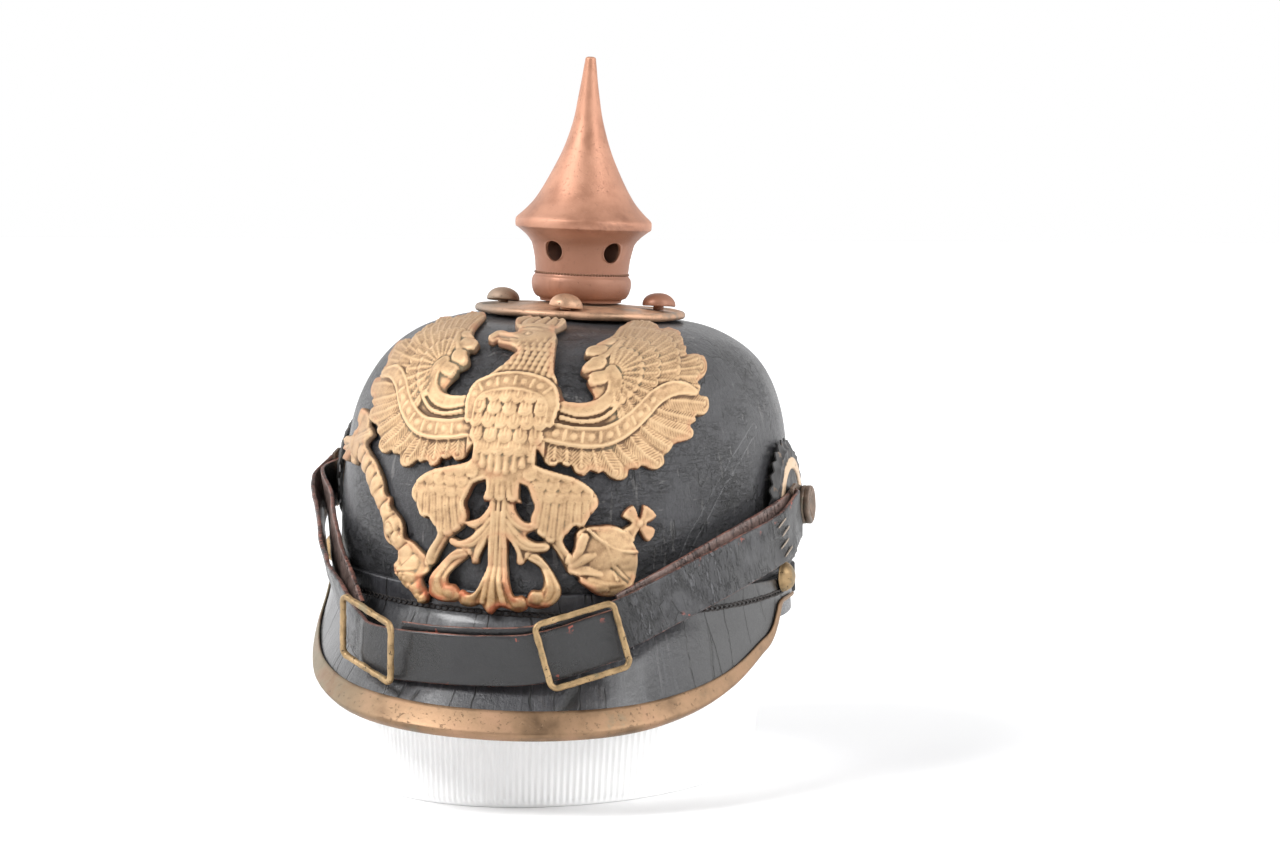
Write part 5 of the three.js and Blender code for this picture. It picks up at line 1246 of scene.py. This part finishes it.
class Relief:
    """The stamped plate as heights over a flat grid of u across and v up."""

    def __init__(self, low, high, cell):
        self.cell, self.low = cell, np.array(low, float)
        self.u, self.v = np.meshgrid(np.arange(low[0], high[0], cell), np.arange(low[1], high[1], cell))
        self.height = np.zeros(self.u.shape)
        self.inside = np.full(self.u.shape, -3.0)

    def window(self, points, margin):
        """The part of the grid that reaches a margin past the points."""
        low = ((points.min(0) - margin - self.low) / self.cell).astype(int)
        high = ((points.max(0) + margin - self.low) / self.cell).astype(int) + 2
        low = np.maximum(low, 0)
        return (slice(low[1], high[1]), slice(low[0], high[0]))

    def lift(self, window, value):
        """Raises the window's heights to a value where they are lower."""
        self.height[window] = np.maximum(self.height[window], value)

    def distance(self, window, a, b):
        """Least distance from the window's points to the segments a-b, which segment it is and
        how far along it."""
        p = np.stack([self.u[window], self.v[window]], -1)[..., None, :]
        ab = b - a
        s = np.clip(np.sum((p - a) * ab, -1) / np.maximum(np.sum(ab * ab, -1), 1e-9), 0, 1)
        gap = p - a - s[..., None] * ab
        far = np.hypot(gap[..., 0], gap[..., 1])
        best = far.argmin(-1)[..., None]
        far, s = (np.take_along_axis(values, best, -1)[..., 0] for values in (far, s))
        return far, best[..., 0] + s

    def blank(self, outline, height):
        """Cuts a part: signed distance to its smooth closed outline, positive inside."""
        points = np.array(outline, float)
        curve = smooth_path(np.concatenate([points[-2:], points, points[:3]]), 3)[2 * 3:-2 * 3]
        window = self.window(curve, 2.0)
        a, b = curve[:-1], curve[1:]
        far, _ = self.distance(window, a, b)
        u, v = self.u[window][..., None], self.v[window][..., None]
        crosses = (a[:, 1] > v) != (b[:, 1] > v)
        rise = np.where(b[:, 1] == a[:, 1], 1e-9, b[:, 1] - a[:, 1])
        at = a[:, 0] + (v - a[:, 1]) / rise * (b[:, 0] - a[:, 0])
        inside = (np.sum(crosses & (u < at), -1) % 2) == 1
        signed = np.where(inside, far, -far)
        self.inside[window] = np.maximum(self.inside[window], signed)
        dome = np.sqrt(1 - (1 - np.clip(signed / 1.4, 0, 1)) ** 2)
        self.lift(window, np.where(inside, height * (0.45 + 0.55 * dome), 0))

    def stroke(self, path, radius, base, height, rim=0.0, quill=0.0, lines=0.0, pitch=0.9, power=0.5,
               tilt=0.0, barbs=0.0, over=False):
        """A raised band along a path: with t the distance from the path over the radius, the
        height is base + height (1 - t^2)^power, plus a rim near t = 0.85, a quill along the
        middle, fine lines beside it, or barbs that leave it at 45 degrees. radius may be one
        number or one for each point."""
        path = np.array(path, float)
        radius = np.broadcast_to(np.asarray(radius, float), (len(path),))
        rows = np.concatenate([path, radius[:, None]], 1)
        if len(rows) > 2:
            rows = smooth_path(rows, 4)
        line, radii = rows[:, :2], rows[:, 2]
        window = self.window(line, radii.max() + 0.5)
        far, along = self.distance(window, line[:-1], line[1:])
        t = far / np.interp(along, np.arange(len(radii)), radii)
        value = base + height * np.clip(1 - t ** 2, 0, 1) ** power
        value = value + rim * np.exp(-((t - 0.84) / 0.13) ** 2) + quill * np.exp(-(far / 0.4) ** 2)
        value = value + tilt * (along / (len(radii) - 1) - 0.5)
        if lines:
            value = value + lines * np.cos(2 * np.pi * far / pitch) * smoothstep(1.0, 0.75, t)
        if barbs:
            phase = np.interp(along, np.arange(len(line)), run_along(line)) - 0.9 * far
            value = value + barbs * np.cos(2 * np.pi * phase / BARB_PITCH) * smoothstep(1.0, 0.8, t)
        value = np.where(t < 1, value, 0)
        if over:
            share = smoothstep(1.0, 0.9, t)
            self.height[window] = self.height[window] * (1 - share) + value * share
        else:
            self.lift(window, value)

    def ball(self, centre, radius, height, base=0.0, squash=1.0):
        """A round or oval boss: height times the square root of 1 - t^2."""
        centre = np.array(centre, float)
        window = self.window(centre[None], radius * max(squash, 1) + 0.5)
        t = np.hypot((self.u[window] - centre[0]) / squash, self.v[window] - centre[1]) / radius
        self.lift(window, np.where(t < 1, base + height * np.sqrt(np.clip(1 - t * t, 0, 1)), 0))

    def beads(self, path, pitch, radius, height, first, last):
        """Small round bosses and bars by turns along a path, between two distances along it."""
        line = smooth_path(path, 6)
        run = run_along(line)
        for k, at in enumerate(np.arange(first, min(last, run[-1]), pitch)):
            middle, ahead = between(np.array([at, at + 0.3]), run, line)
            across = across_from(unit(ahead - middle)) * radius * 1.1
            u, v = ((middle - self.low) / self.cell).astype(int)
            ground = self.height[v, u]
            if k % 2:
                self.stroke([middle - across, middle + across], 0.55, ground, height)
            else:
                self.ball(middle, radius, height, base=ground)

    def cut(self, path, radius, depth):
        """A groove of round section along a path."""
        line = smooth_path(path, 4) if len(path) > 2 else np.array(path, float)
        window = self.window(line, radius * 2 + 0.5)
        far, _ = self.distance(window, line[:-1], line[1:])
        self.height[window] -= depth * np.exp(-(far / radius) ** 2)


# Feathers of one wing, the big ones first.
WING_FEATHERS = table(
    "root tip radius bend", ((17.5, 67), (17.4, 57.2), 2.9, 0), ((25.4, 68), (27.4, 54.6), 3.9, 0.3),
    ((32, 67), (40.8, 53.3), 3.8, -0.8), ((42, 68.5), (57.6, 57), 3.6, -1),
    ((48, 73.5), (71, 66.6), 3.0, -0.6), ((52, 79), (78.2, 77), 3.9, 0.3),
    ((45, 87), (76, 91.3), 5.4, 0.8), ((44, 92), (63.4, 99.6), 3.0, 0.8), ((41, 93), (61, 106), 3.6, 0.9),
    ((39, 95), (56.6, 113.6), 3.8, 1.0), ((36.5, 96), (50, 115.2), 3.2, 0.9),
    ((35, 97), (45, 120.5), 2.9, 0.9), ((33, 98), (39.6, 125.6), 3.1, 0.8),
    ((31, 98), (33.6, 126.4), 3.0, 0.5), ((29.5, 98), (29.4, 118), 2.3, 0.2),
    ((28, 98), (27, 109.6), 2.0, 0), ((21, 66), (22.2, 57.2), 1.7, 0), ((29.4, 65), (33.2, 55.3), 2.1, 0.2),
    ((37, 66), (48.2, 57), 2.2, -0.4), ((46, 71), (61.6, 62.6), 2.0, -0.4),
    ((52, 76), (72.2, 71.8), 2.0, -0.3), ((56, 84.5), (72.8, 83), 2.0, 0.2))
# Rings of shorter feathers round the shoulder joint.
WING_COVERTS = table(
    "start end radius count low high base", (27, 40, 2.7, 8, -2, 74, 1.2), (18, 29, 2.4, 11, -6, 84, 1.5),
    (11, 19.5, 2.0, 13, -62, 92, 1.8), (5, 12.5, 1.7, 12, -72, 96, 2.1))
SHOULDER = (32.0, 88.0)


def wing(relief, side):
    """Long feathers with quills to the edge, rings of coverts over their roots, a bordered band
    swept through them and a rolled shoulder with three lobes."""
    def stroke(points, *numbers, **more):
        relief.stroke(mirrored(points, side), *numbers, **more)
    for row in WING_FEATHERS:
        root, tip = np.array(row["root"], float), np.array(row["tip"], float)
        ahead = unit(tip - root)
        end = tip - ahead * row["radius"] * 0.8
        middle = (root + end) / 2 + across_from(ahead) * row["bend"]
        radii = np.array([0.6, 0.95, 1.0]) * row["radius"]
        stroke([root, middle, end], radii, 0.75, 0.9, rim=0.3, quill=0.45, barbs=0.22, tilt=0.3)
    for ring in WING_COVERTS:
        for angle in np.radians(np.linspace(ring["low"], ring["high"], ring["count"])):
            ahead = np.array([math.cos(angle), math.sin(angle)])
            line = [SHOULDER + ahead * r for r in (ring["start"], ring["end"] - ring["radius"])]
            stroke(line, (ring["radius"] * 0.7, ring["radius"]), ring["base"], 0.65, rim=0.25, quill=0.35,
                   barbs=0.16, tilt=0.5)
    band = [(11, 68), (15, 67.8), (21, 66.9), (27, 66.5), (33, 66.8), (38, 68.4), (43, 71.6), (47, 75.2),
            (50.5, 79), (55, 81.6), (60, 82.6), (65, 82), (69.5, 80.8)]
    widths = (2.8, 3.3, 3.4, 3.5, 3.5, 3.6, 3.6, 3.6, 3.5, 3.2, 2.7, 2.0, 1.0)
    stroke(band, widths, 2.3, 0.5, rim=0.55, power=0.12, over=True)
    relief.beads(mirrored(band, side), 3.1, 1.25, 0.45, first=6, last=46)
    stroke([(18, 76.2), (24, 75.4), (30.5, 77), (34, 81), (34, 86), (31.5, 90)],
           (2.0, 2.4, 2.6, 2.6, 2.6, 2.2), 2.0, 0.9, rim=0.3, power=0.35)
    stroke([(17.6, 72.8), (25, 71.6), (32.5, 73), (37.4, 78), (37.8, 84)], 0.75, 2.3, 0.7)
    for u, v, r in ((22.2, 98.6, 2.9), (23.2, 92.2, 3.1), (26.4, 86.6, 2.7), (25, 103.5, 2.2)):
        stroke([(u + 3, v + 0.6), (u, v)], r, 1.9, 1.3, rim=0.2)
    stroke([(27, 96), (30.5, 100), (32, 104)], 1.7, 2.0, 0.9, quill=0.2)


def body(relief):
    """Arched band over the breast, shingled breast feathers, long belly feathers, neck, head with
    an open beak, and the crown."""
    relief.stroke([(0, 60), (0.3, 78)], 13.6, 2.4, 1.0, power=0.3)
    relief.stroke([(0, 57), (0, 62)], 9.6, 2.2, 0.8, power=0.3)
    for u in np.linspace(-9, 9.6, 8):
        foot = 53.6 + 0.045 * u * u
        relief.stroke([(u * 1.15, 66), (u, foot + 1.4)], (1.3, 1.5), 2.7, 0.9, rim=0.1, quill=0.25, tilt=0.5)
    rows = (60.4, 6, 9.2), (64.2, 5, 10.2), (68.6, 6, 11), (72.8, 5, 10.6), (76.8, 6, 10.6)
    for row, (v, count, spread) in enumerate(rows):
        for u in np.linspace(-spread, spread, count) + 0.3:
            relief.stroke([(u * 0.96, v + 5), (u, v + 1.6)], (1.7, 2.4), 3.3 + 0.1 * row, 0.5, rim=0.14,
                          quill=0.12, lines=0.1, pitch=1.2, tilt=0.6, power=0.3)
    arch = [(-13.4, 70.5), (-13.6, 76.5), (-11.4, 80.6), (-6, 83), (0, 83.9), (6, 83.1), (11.6, 80.8),
            (14.2, 76.5), (14.2, 70.5)]
    widths = (1.6, 2.4, 3.3, 3.6, 3.7, 3.6, 3.3, 2.4, 1.6)
    relief.stroke(arch, widths, 3.6, 0.5, rim=0.5, power=0.12, over=True)
    relief.beads(arch, 3.0, 1.2, 0.4, first=8, last=36)
    for row, v in enumerate(np.arange(86.2, 103, 2.3)):
        left = np.interp(v, (85, 91, 97, 104), (-11, -5.6, -3.2, -3.6))
        right = np.interp(v, (85, 91, 97, 104), (13.4, 11, 9.8, 8.2))
        count = max(int((right - left) / 2.1), 3)
        for k in range(count + 1):
            u = left + (right - left) * (k + 0.5 * (row % 2)) / count
            relief.stroke([(u * 0.98 + 0.1, v + 3.6), (u, v + 0.4)], (0.8, 1.2), 2.3, 0.8, quill=0.25,
                          tilt=0.5)
    relief.ball((-0.4, 106.2), 7.4, 1.3, base=2.2, squash=1.1)
    beak = [(-4.6, 105.4), (-9.4, 107), (-13.4, 106.4), (-15.6, 103.4)]
    relief.stroke(beak, (2.5, 1.9, 1.6, 1.0), 1.8, 1.7)
    relief.stroke([(-3.6, 100.6), (-7.6, 100.6), (-11.6, 102.2)], (1.9, 1.3, 0.8), 1.7, 1.3)
    relief.stroke([(-5.5, 103), (-9, 103.4), (-11.4, 104.4)], 0.6, 1.2, 0.8)
    relief.cut([(-5, 103.6), (-8.6, 104.9), (-12, 104.8)], 0.45, 0.7)
    relief.stroke([(-6, 109), (-2.4, 110), (2, 109)], 0.8, 3.0, 0.9)
    relief.cut([(-3.6, 106.4), (-2, 105.6), (-0.4, 106.6), (-1.8, 108), (-3.5, 107)], 0.35, 0.5)
    relief.ball((-2, 106.9), 0.9, 0.9, base=3.1)
    for u, top in ((-9, -6.4), (-5, -3.4), (-1, 0), (3, 3), (6.6, 5.6)):
        relief.stroke([(u, 113), (u * 1.1, 118), (top, 123.6)], (1.5, 1.9, 1.1), 2.0, 1.3, quill=0.2)
    relief.stroke([(-8.6, 112), (-2, 113.2), (6, 112.2)], 1.25, 3.0, 0.7, rim=0.2)
    for u, v in ((6.9, 114.6), (7.4, 117), (7, 119.6), (5.4, 122), (-9.6, 119.4), (-8.4, 122.2), (0, 124)):
        relief.ball((u, v), 1.0, 1.0, base=2.4)


def leg(relief, side):
    """Scaled thigh, long feathers hanging below it and a round shin."""
    def stroke(points, *numbers, **more):
        relief.stroke(mirrored(points, side), *numbers, **more)
    stroke([(9, 54), (19, 50), (28, 47)], (3.5, 6.6, 6.8), 1.2, 1.5)
    for root, tip, r in (((14, 48), (12.6, 37.4), 1.9), ((16.6, 48), (15.2, 34.6), 1.9),
                         ((19.2, 48), (18, 33), 1.9), ((21.8, 47.6), (20.8, 33.4), 1.8),
                         ((24.2, 47.4), (23.6, 35.6), 1.8), ((26.8, 47), (26.6, 38), 1.9),
                         ((29.4, 46.6), (29.4, 38.4), 1.8), ((32, 46.4), (32.2, 43), 1.7)):
        stroke([root, (tip[0], tip[1] + 1.4)], (1.6, r), 2.2, 1.4, quill=-0.22, power=0.4)
    for row, (v, low, high) in enumerate(((47.2, 12.5, 33), (50.6, 11.4, 30.5), (53.8, 10, 25))):
        for u in np.arange(low + 2.1 * (row % 2), high, 4.2):
            stroke([(u - 0.8, v + 3), (u, v + 0.8)], (1.9, 2.5), 3.1 - 0.01 * u, 0.45, rim=0.1, tilt=0.55,
                   power=0.3)
    stroke([(20.6, 34), (24, 28.6), (26.2, 23.4)], (2.0, 1.6, 1.8), 1.4, 1.8)


def tail(relief):
    """Ribbed shaft under a collar of lobes, two pairs of curved leaves, and open loops that end
    in balls."""
    for side in (-1, 1):
        def leaf(points, radii, **more):
            relief.stroke(mirrored(points, side), radii, 1.3, 1.5, **more)
        leaf([(1.6, 46), (4.6, 40.6), (8.4, 37.9), (12, 37.4)], (1.6, 1.9, 1.8, 1.2), quill=-0.35)
        leaf([(2.4, 39), (6, 34.2), (10.4, 31), (16.6, 31)], (1.8, 2.2, 2.0, 1.3), quill=-0.35)
        leaf([(3, 36), (6.2, 30.5), (7.9, 25.4)], (1.3, 1.5, 1.2), quill=-0.2)
        wide = 1.0 if side > 0 else 1.15
        leaf([(10.6, 28), (15.2 * wide, 25.8), (18.4 * wide, 20.6), (18.9 * wide, 15.6),
              (16.8 * wide, 12.4), (14, 12.6)], (1.5, 1.9, 2.2, 2.4, 2.3, 1.6), quill=-0.3, rim=0.3)
        relief.ball((side * 13 * (1 + 0.23 * (side < 0)), 13.8), 2.9, 2.3, base=1.3)
        relief.ball((side * 8.4 - 1, 11.6), 2.5, 1.8, base=1.4)
    for path, radii in (
        ([(-1.7, 50), (-2.1, 36), (-4.4, 20), (-9, 11.4)], (1.1, 1.0, 1.4, 1.6)),
        ([(1.9, 50), (1.9, 36), (3.3, 20), (6.6, 11)], (1.1, 1.0, 1.4, 1.6)),
        ([(-1, 42), (-1.6, 30), (-3.2, 17), (-4.6, 11)], (0.6, 0.8, 1.1, 1.0)),
        ([(1.2, 42), (1.0, 30), (1.2, 17), (2.4, 10.6)], (0.6, 0.8, 1.1, 1.0)),
        ([(0.1, 50), (-0.3, 34), (-1.2, 18), (-2, 8)], (0.9, 0.9, 1.3, 1.5)),
    ):
        relief.stroke(path, radii, 1.7, 1.3)
    for u in (-3.8, 4.6, 0.3):
        relief.stroke([(u * 0.7, 53.5), (u, 47.6)], (1.7, 2.1), 2.6, 0.9, quill=-0.3, rim=0.2, tilt=0.3)


def sceptre(relief):
    """A staff of knobs and rings from its end ball up to a small spread finial, grooved across
    between the knobs."""
    knobs = [((-27, 9.8), 2.3), ((-29.4, 13.2), 2.8), ((-32.6, 16.6), 3.8), ((-34, 21), 4.6),
             ((-37.4, 24.6), 4.3), ((-40.6, 28.4), 3.6), ((-44.6, 33.4), 4.6), ((-48, 38.6), 3.4),
             ((-51.4, 42.2), 3.7), ((-55.4, 45.8), 3.9), ((-59.6, 49), 3.7), ((-64, 52.2), 3.4),
             ((-69, 54.8), 3.4), ((-75, 57), 4.2)]
    for k, (middle, r) in enumerate(knobs):
        relief.ball(middle, r, 1.9 + 0.3 * (k % 2), base=1.1)
    relief.stroke([(-41, 28.8), (-44.4, 33), (-47.6, 38)], (2.2, 4.0, 2.4), 1.6, 2.0, power=0.7)
    relief.ball((-44.8, 31.6), 1.5, 0.7, base=3.4)
    relief.cut([(-47.4, 33), (-44.6, 35), (-42.2, 32.4), (-44, 29.4), (-47, 31)], 0.35, 0.45)
    for k, (a, b) in enumerate(zip(knobs[:-1], knobs[1:])):
        middle = (np.array(a[0]) + np.array(b[0])) / 2
        ahead = unit(np.array(b[0], float) - a[0])
        across = across_from(ahead) * 3.4
        relief.cut([middle - across, middle + across + ahead * (k % 3 - 1)], 0.45, 0.45)
    for k, u in enumerate(np.linspace(-39, -28.5, 7)):
        relief.ball((u, 21 - (u + 39) * 0.95 + 0.6 * (k % 2)), 1.3, 0.9, base=2.4)
        relief.ball((u + 0.8, 17.6 - (u + 39) * 0.7), 1.0, 0.8, base=2.0)
    for tip, r in (((-74.6, 68.6), 2.4), ((-64, 61.6), 2.2), ((-92.5, 57.6), 1.8), ((-90.4, 54.6), 1.4),
                   ((-88, 51.8), 1.6), ((-75.6, 51.6), 1.8)):
        relief.stroke([(-78, 57.6), tip], (1.6, r), 1.5, 1.2, quill=0.35, lines=0.12, pitch=1.1)
    relief.ball((-77.6, 57.8), 2.4, 1.6, base=2.4)


def orb(relief):
    """Smooth domed orb in the claws: two raised seams over it, a scalloped fringe under it and a
    cross with flared arms."""
    relief.ball((38.6, 28), 11.4, 3.0, base=1.5)
    relief.stroke([(30.6, 37.4), (36, 33), (42, 30.4), (48.6, 30)], 0.5, 4.2, 0.35)
    relief.stroke([(36.4, 33.4), (38.6, 27), (40, 20.6)], 0.5, 4.3, 0.3)
    for k, path in enumerate((((25, 21.6), (30, 18.6), (36, 17.4)), ((31, 20.6), (37, 19.2), (43, 19.8)),
                              ((38, 17), (43, 17.8), (47, 21)))):
        relief.stroke(path, (1.2, 1.9, 1.1), 3.1 - 0.2 * k, 0.8)
    for u in np.linspace(28.4, 45.6, 13):
        relief.ball((u, 15.9 + 0.055 * (u - 38) ** 2), 0.9, 0.9, base=2.1)
    relief.cut([(38.6, 24.4), (43.8, 19.6)], 0.4, 0.8)
    relief.cut([(40.6, 25.4), (45.2, 20.6)], 0.3, 0.5)
    for path, radii in (
        ([(24.8, 27), (27.4, 31), (29.4, 35)], (1.9, 2.0, 1.5)),
        ([(25.6, 25), (29.4, 27.6), (32.8, 29)], (2.0, 1.9, 1.2)),
        ([(25.6, 23.4), (30, 23.6), (34.6, 22.6)], (1.8, 1.8, 1.2)),
    ):
        relief.stroke(path, radii, 3.2, 1.3)
    for tip in ((45.2, 43.6), (53.8, 43.8), (54.6, 36.2), (45, 36.4)):
        relief.stroke([(49.8, 39.5), tip], (0.9, 3.4), 1.1, 1.0, rim=0.3, power=0.2)
    relief.ball((49.8, 39.5), 1.5, 1.2, base=1.7)


def blurred(values, weight, cells):
    """Mean over a square window, counting only where weight is 1."""
    def box(a):
        for axis in (0, 1):
            pad = [(cells + 1, cells) if k == axis else (0, 0) for k in (0, 1)]
            total = np.cumsum(np.pad(a, pad), axis)
            low = [slice(None)] * 2
            high = [slice(None)] * 2
            low[axis], high[axis] = slice(0, -2 * cells - 1), slice(2 * cells + 1, None)
            a = total[tuple(high)] - total[tuple(low)]
        return a
    return box(values * weight) / np.maximum(box(weight), 1)


def back_faces(keep, number):
    """The back: whole square blocks of cells as one face each, which keeps every point of the
    block's edge, and single cells elsewhere."""
    side = BACK_BLOCK
    rows, columns = (n // side for n in keep.shape)
    whole = keep[:rows * side, :columns * side].reshape(rows, side, columns, side).all((1, 3))
    single = keep.copy()
    single[:rows * side, :columns * side] &= ~np.kron(whole, np.ones((side, side), bool))
    i, j = np.nonzero(single)
    faces = np.stack([number[i + 1, j], number[i + 1, j + 1], number[i, j + 1], number[i, j]], -1).tolist()
    step, zero = np.arange(side), np.zeros(side, int)
    down = np.concatenate([step, zero + side, side - step, zero])
    right = np.concatenate([zero, step, zero + side, side - step])
    i, j = np.nonzero(whole)
    return faces + number[i[:, None] * side + down, j[:, None] * side + right].tolist()


def eagle_plate():
    """The relief as a closed plate: cells inside the outlines, their edge points drawn onto the
    outline, a rounded lip, and a flat back that follows the skull."""
    relief = Relief((-96, 4.5), (81, 128), PLATE_CELL)
    for part in OUTLINES:
        for side in (1, -part["twin"]) if part["twin"] else (1,):
            relief.blank(mirrored(part["outline"], side), part["height"] * 0.55)
    for side in (1, -TWIN):
        wing(relief, side)
    for side in (1, -1):
        leg(relief, side)
    tail(relief)
    body(relief)
    sceptre(relief)
    orb(relief)

    cell, inside = relief.cell, relief.inside
    weight = (inside > 0).astype(float)
    broad = blurred(relief.height, weight, BROAD)
    relief.height = broad + (relief.height - broad) * STAMPING_DEPTH
    flat = np.stack([relief.u, relief.v, np.zeros_like(relief.u)], -1)
    height = np.maximum(relief.height, 0.8) + 0.05 * waves(flat, 3.0, 80) + 0.14 * waves(flat, 8.0, 81)
    mean = (inside[:-1, :-1] + inside[1:, :-1] + inside[:-1, 1:] + inside[1:, 1:]) / 4
    keep = mean > 0
    around = np.zeros(inside.shape, int)
    for di in (0, 1):
        for dj in (0, 1):
            around[di:inside.shape[0] - 1 + di, dj:inside.shape[1] - 1 + dj] += keep
    used, rim = around > 0, (around > 0) & (around < 4)
    slope_v, slope_u = np.gradient(inside, cell)
    steep = np.maximum(slope_u ** 2 + slope_v ** 2, 0.25)
    shift = np.where(rim, np.clip(inside, -cell, cell) / steep, 0)
    u, v = relief.u - shift * slope_u, relief.v - shift * slope_v
    deep = np.where(rim, 0, np.clip(inside, 0, None))
    round_off = np.sqrt(1 - (1 - np.clip(deep / PLATE_ROUND, 0, 1)) ** 2)
    depth = PLATE_EDGE + (np.maximum(height, PLATE_EDGE) - PLATE_EDGE) * round_off
    # Height over the local mean; the gilt paints highlight on the high parts and shade in the hollows from
    # it.
    raised = depth - blurred(depth, used.astype(float), NEAR)
    number = np.full(inside.shape, -1)
    number[used] = np.arange(used.sum())
    i, j = np.nonzero(keep)
    front = np.stack([number[i, j], number[i, j + 1], number[i + 1, j + 1], number[i + 1, j]], -1)
    count = int(used.sum())
    edges = np.concatenate([front[:, [k, (k + 1) % 4]] for k in range(4)])
    codes, back_codes = edges[:, 0] * count + edges[:, 1], edges[:, 1] * count + edges[:, 0]
    loop = edges[~np.isin(codes, back_codes)]
    walls = np.stack([loop[:, 1], loop[:, 0], loop[:, 0] + count, loop[:, 1] + count], -1)
    faces = front.tolist() + back_faces(keep, number + count) + walls.tolist()
    top = on_plate(u[used], v[used], depth[used])
    bottom = on_plate(u[used], v[used], np.zeros(count))
    mesh = bpy.data.meshes.new("eagle_plate_gilt")
    mesh.from_pydata(to_world(np.concatenate([top, bottom])), [], faces)
    edge_near = np.exp(-(np.clip(inside, 0, None) / 2.2) ** 2)
    foot = smoothstep(26, 9, relief.v)
    dull = smoothstep(84, 118, relief.v) + smoothstep(48, 78, -relief.u)
    for key, values in (("raised", raised), ("rim", edge_near), ("foot", foot), ("dull", dull)):
        layer = mesh.attributes.new(key, "FLOAT", "POINT")
        layer.data.foreach_set("value", np.concatenate([values[used], values[used] * 0]))
    place("eagle_plate_gilt", mesh, GILT, "gilt_brass", "eagle_plate")


eagle_plate()
skull()
visor("front", FRONT_EDGE, 0.0, VISOR_END)
visor("rear", REAR_EDGE, np.pi, REAR_END)
stitching("front_stitching", 0.0, 80)
stitching("rear_stitching", np.pi, REAR_END - 3)
visor_trim()
rear_spine()
spike()
spike_seam()
spike_base()
studs()
for name in SIDES:
    cockade(name)
    side_post(name)
    visor_rivet(name)
    strap(name)
    buckle(name)
    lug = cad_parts[f"strap_lug_{name}"]
    lug.data.materials.clear()
    lug.data.materials.append(STEEL)


# ---- stand, floor, light and camera ---------------------------------------------------------
def stand():
    """Oval drum: upright ribs about 2.7 mm apart, closed at the floor, and a plain crown inside
    the skull."""
    # Half width, half length, height.
    ovals = np.array([(66, 101, 0.0), (69.6, 104.4, 0.15), (70.6, 105.2, 1.0), (71.5, 106, 3),
                      (74.5, 106, 30), (74, 98, 60), (73, 92, 90)])
    ribs, steps = 208, 5
    rows = between(np.linspace(0, len(ovals) - 1, 60), np.arange(len(ovals)), ovals)
    turn = circle(ribs * steps)
    rib = 0.35 * np.cos(ribs * turn) * smoothstep(0, 3, rows[:, 2:])
    x, y = (rows[:, :1] + rib) * np.sin(turn), -(rows[:, 1:2] + rib) * np.cos(turn)
    rings = list(np.stack(np.broadcast_arrays(x, y, rows[:, 2:]), -1))
    for height, inset in ((66, 2.4), (76, 1.2)):  # above the brim, and inside the inner skin
        ring = axial(turn, skull_radius(turn, height) - SKULL_WALL - inset, height)
        rings.append(to_world(ring) / MM)
    Shape().grid(np.stack(rings), ends="point").make("stand_board", WHITE, "white_matte", "stand",
                                                     world=True, sharp=60)


stand()


def floor():
    """Wide flat sheet."""
    mesh = bpy.data.meshes.new("floor_sheet")
    mesh.from_pydata([(-9, -9, 0), (9, -9, 0), (9, 9, 0), (-9, 9, 0)], [], [(0, 1, 2, 3)])
    mesh.materials.append(floor_white())
    sheet = bpy.data.objects.new("floor_sheet", mesh)
    bpy.context.scene.collection.objects.link(sheet)


# Brightness of the room by the direction's own X, Y or Z: from, to, level at each end.
ROOM_LIGHT = [("Y", -0.75, -0.05, 0.24, 1.0), ("Z", 0.35, 0.95, 1.0, 0.5),
              ("X", -0.45, -0.9, 1.0, 2.4), ("X", 0.5, 0.9, 1.0, 2.4)]


def lamp(name, place_at, aim, size, power):
    """A rectangular light turned towards a point."""
    light = bpy.data.lights.new(name, "AREA")
    light.shape, light.energy = "RECTANGLE", power
    light.size, light.size_y = size
    lamp_object = bpy.data.objects.new(name, light)
    lamp_object.location = place_at
    lamp_object.rotation_euler = (Vector(aim) - Vector(place_at)).to_track_quat("-Z", "Y").to_euler()
    bpy.context.scene.collection.objects.link(lamp_object)


def surroundings():
    """A white room that is dimmer in front and overhead and brighter at both sides, so that black
    leather shows bright edges and a dark middle. The backdrop itself is plain white."""
    world = bpy.data.worlds.new("studio")
    world.use_nodes = True
    n = Nodes(world.node_tree)
    level = None
    for axis, *fade in ROOM_LIGHT:
        direction = n.node("SeparateXYZ", {0: n.node("TexCoord", output="Generated")}, output=axis)
        shade = n.fade(direction, *fade)
        level = shade if level is None else n.times(level, shade)
    seen = n.node("LightPath", output="Is Camera Ray")
    background = n.tree.nodes["Background"]
    n.put(background.inputs["Strength"], n.node("Mix", {0: seen, 2: level, 3: 1.0}))
    background.inputs["Color"].default_value = (1, 1, 1, 1)
    bpy.context.scene.world = world
    bpy.context.scene.view_settings.view_transform = "Standard"
    floor()
    lamp("key", (-0.75, -0.8, 1.1), (0, 0, 0.12), (0.5, 0.6), 20)
    lamp("fill", (1.1, -0.5, 0.9), (0, 0, 0.12), (0.6, 0.9), 10)


def camera():
    """A little to the wearer's left and above the skull's top, looking slightly down and a little
    past the helmet on that side."""
    swing, away, height, down, past = math.radians(13.5), 1.4, 0.226, 4.06, 1.264
    data = bpy.data.cameras.new("camera")
    data.sensor_width = 36
    data.lens = 105.1
    eye = bpy.data.objects.new("camera", data)
    eye.location = (away * math.sin(swing), -away * math.cos(swing), height)
    eye.rotation_euler = (math.radians(90 - down), 0, swing - math.radians(past))
    bpy.context.scene.collection.objects.link(eye)
    bpy.context.scene.camera = eye


surroundings()
camera()
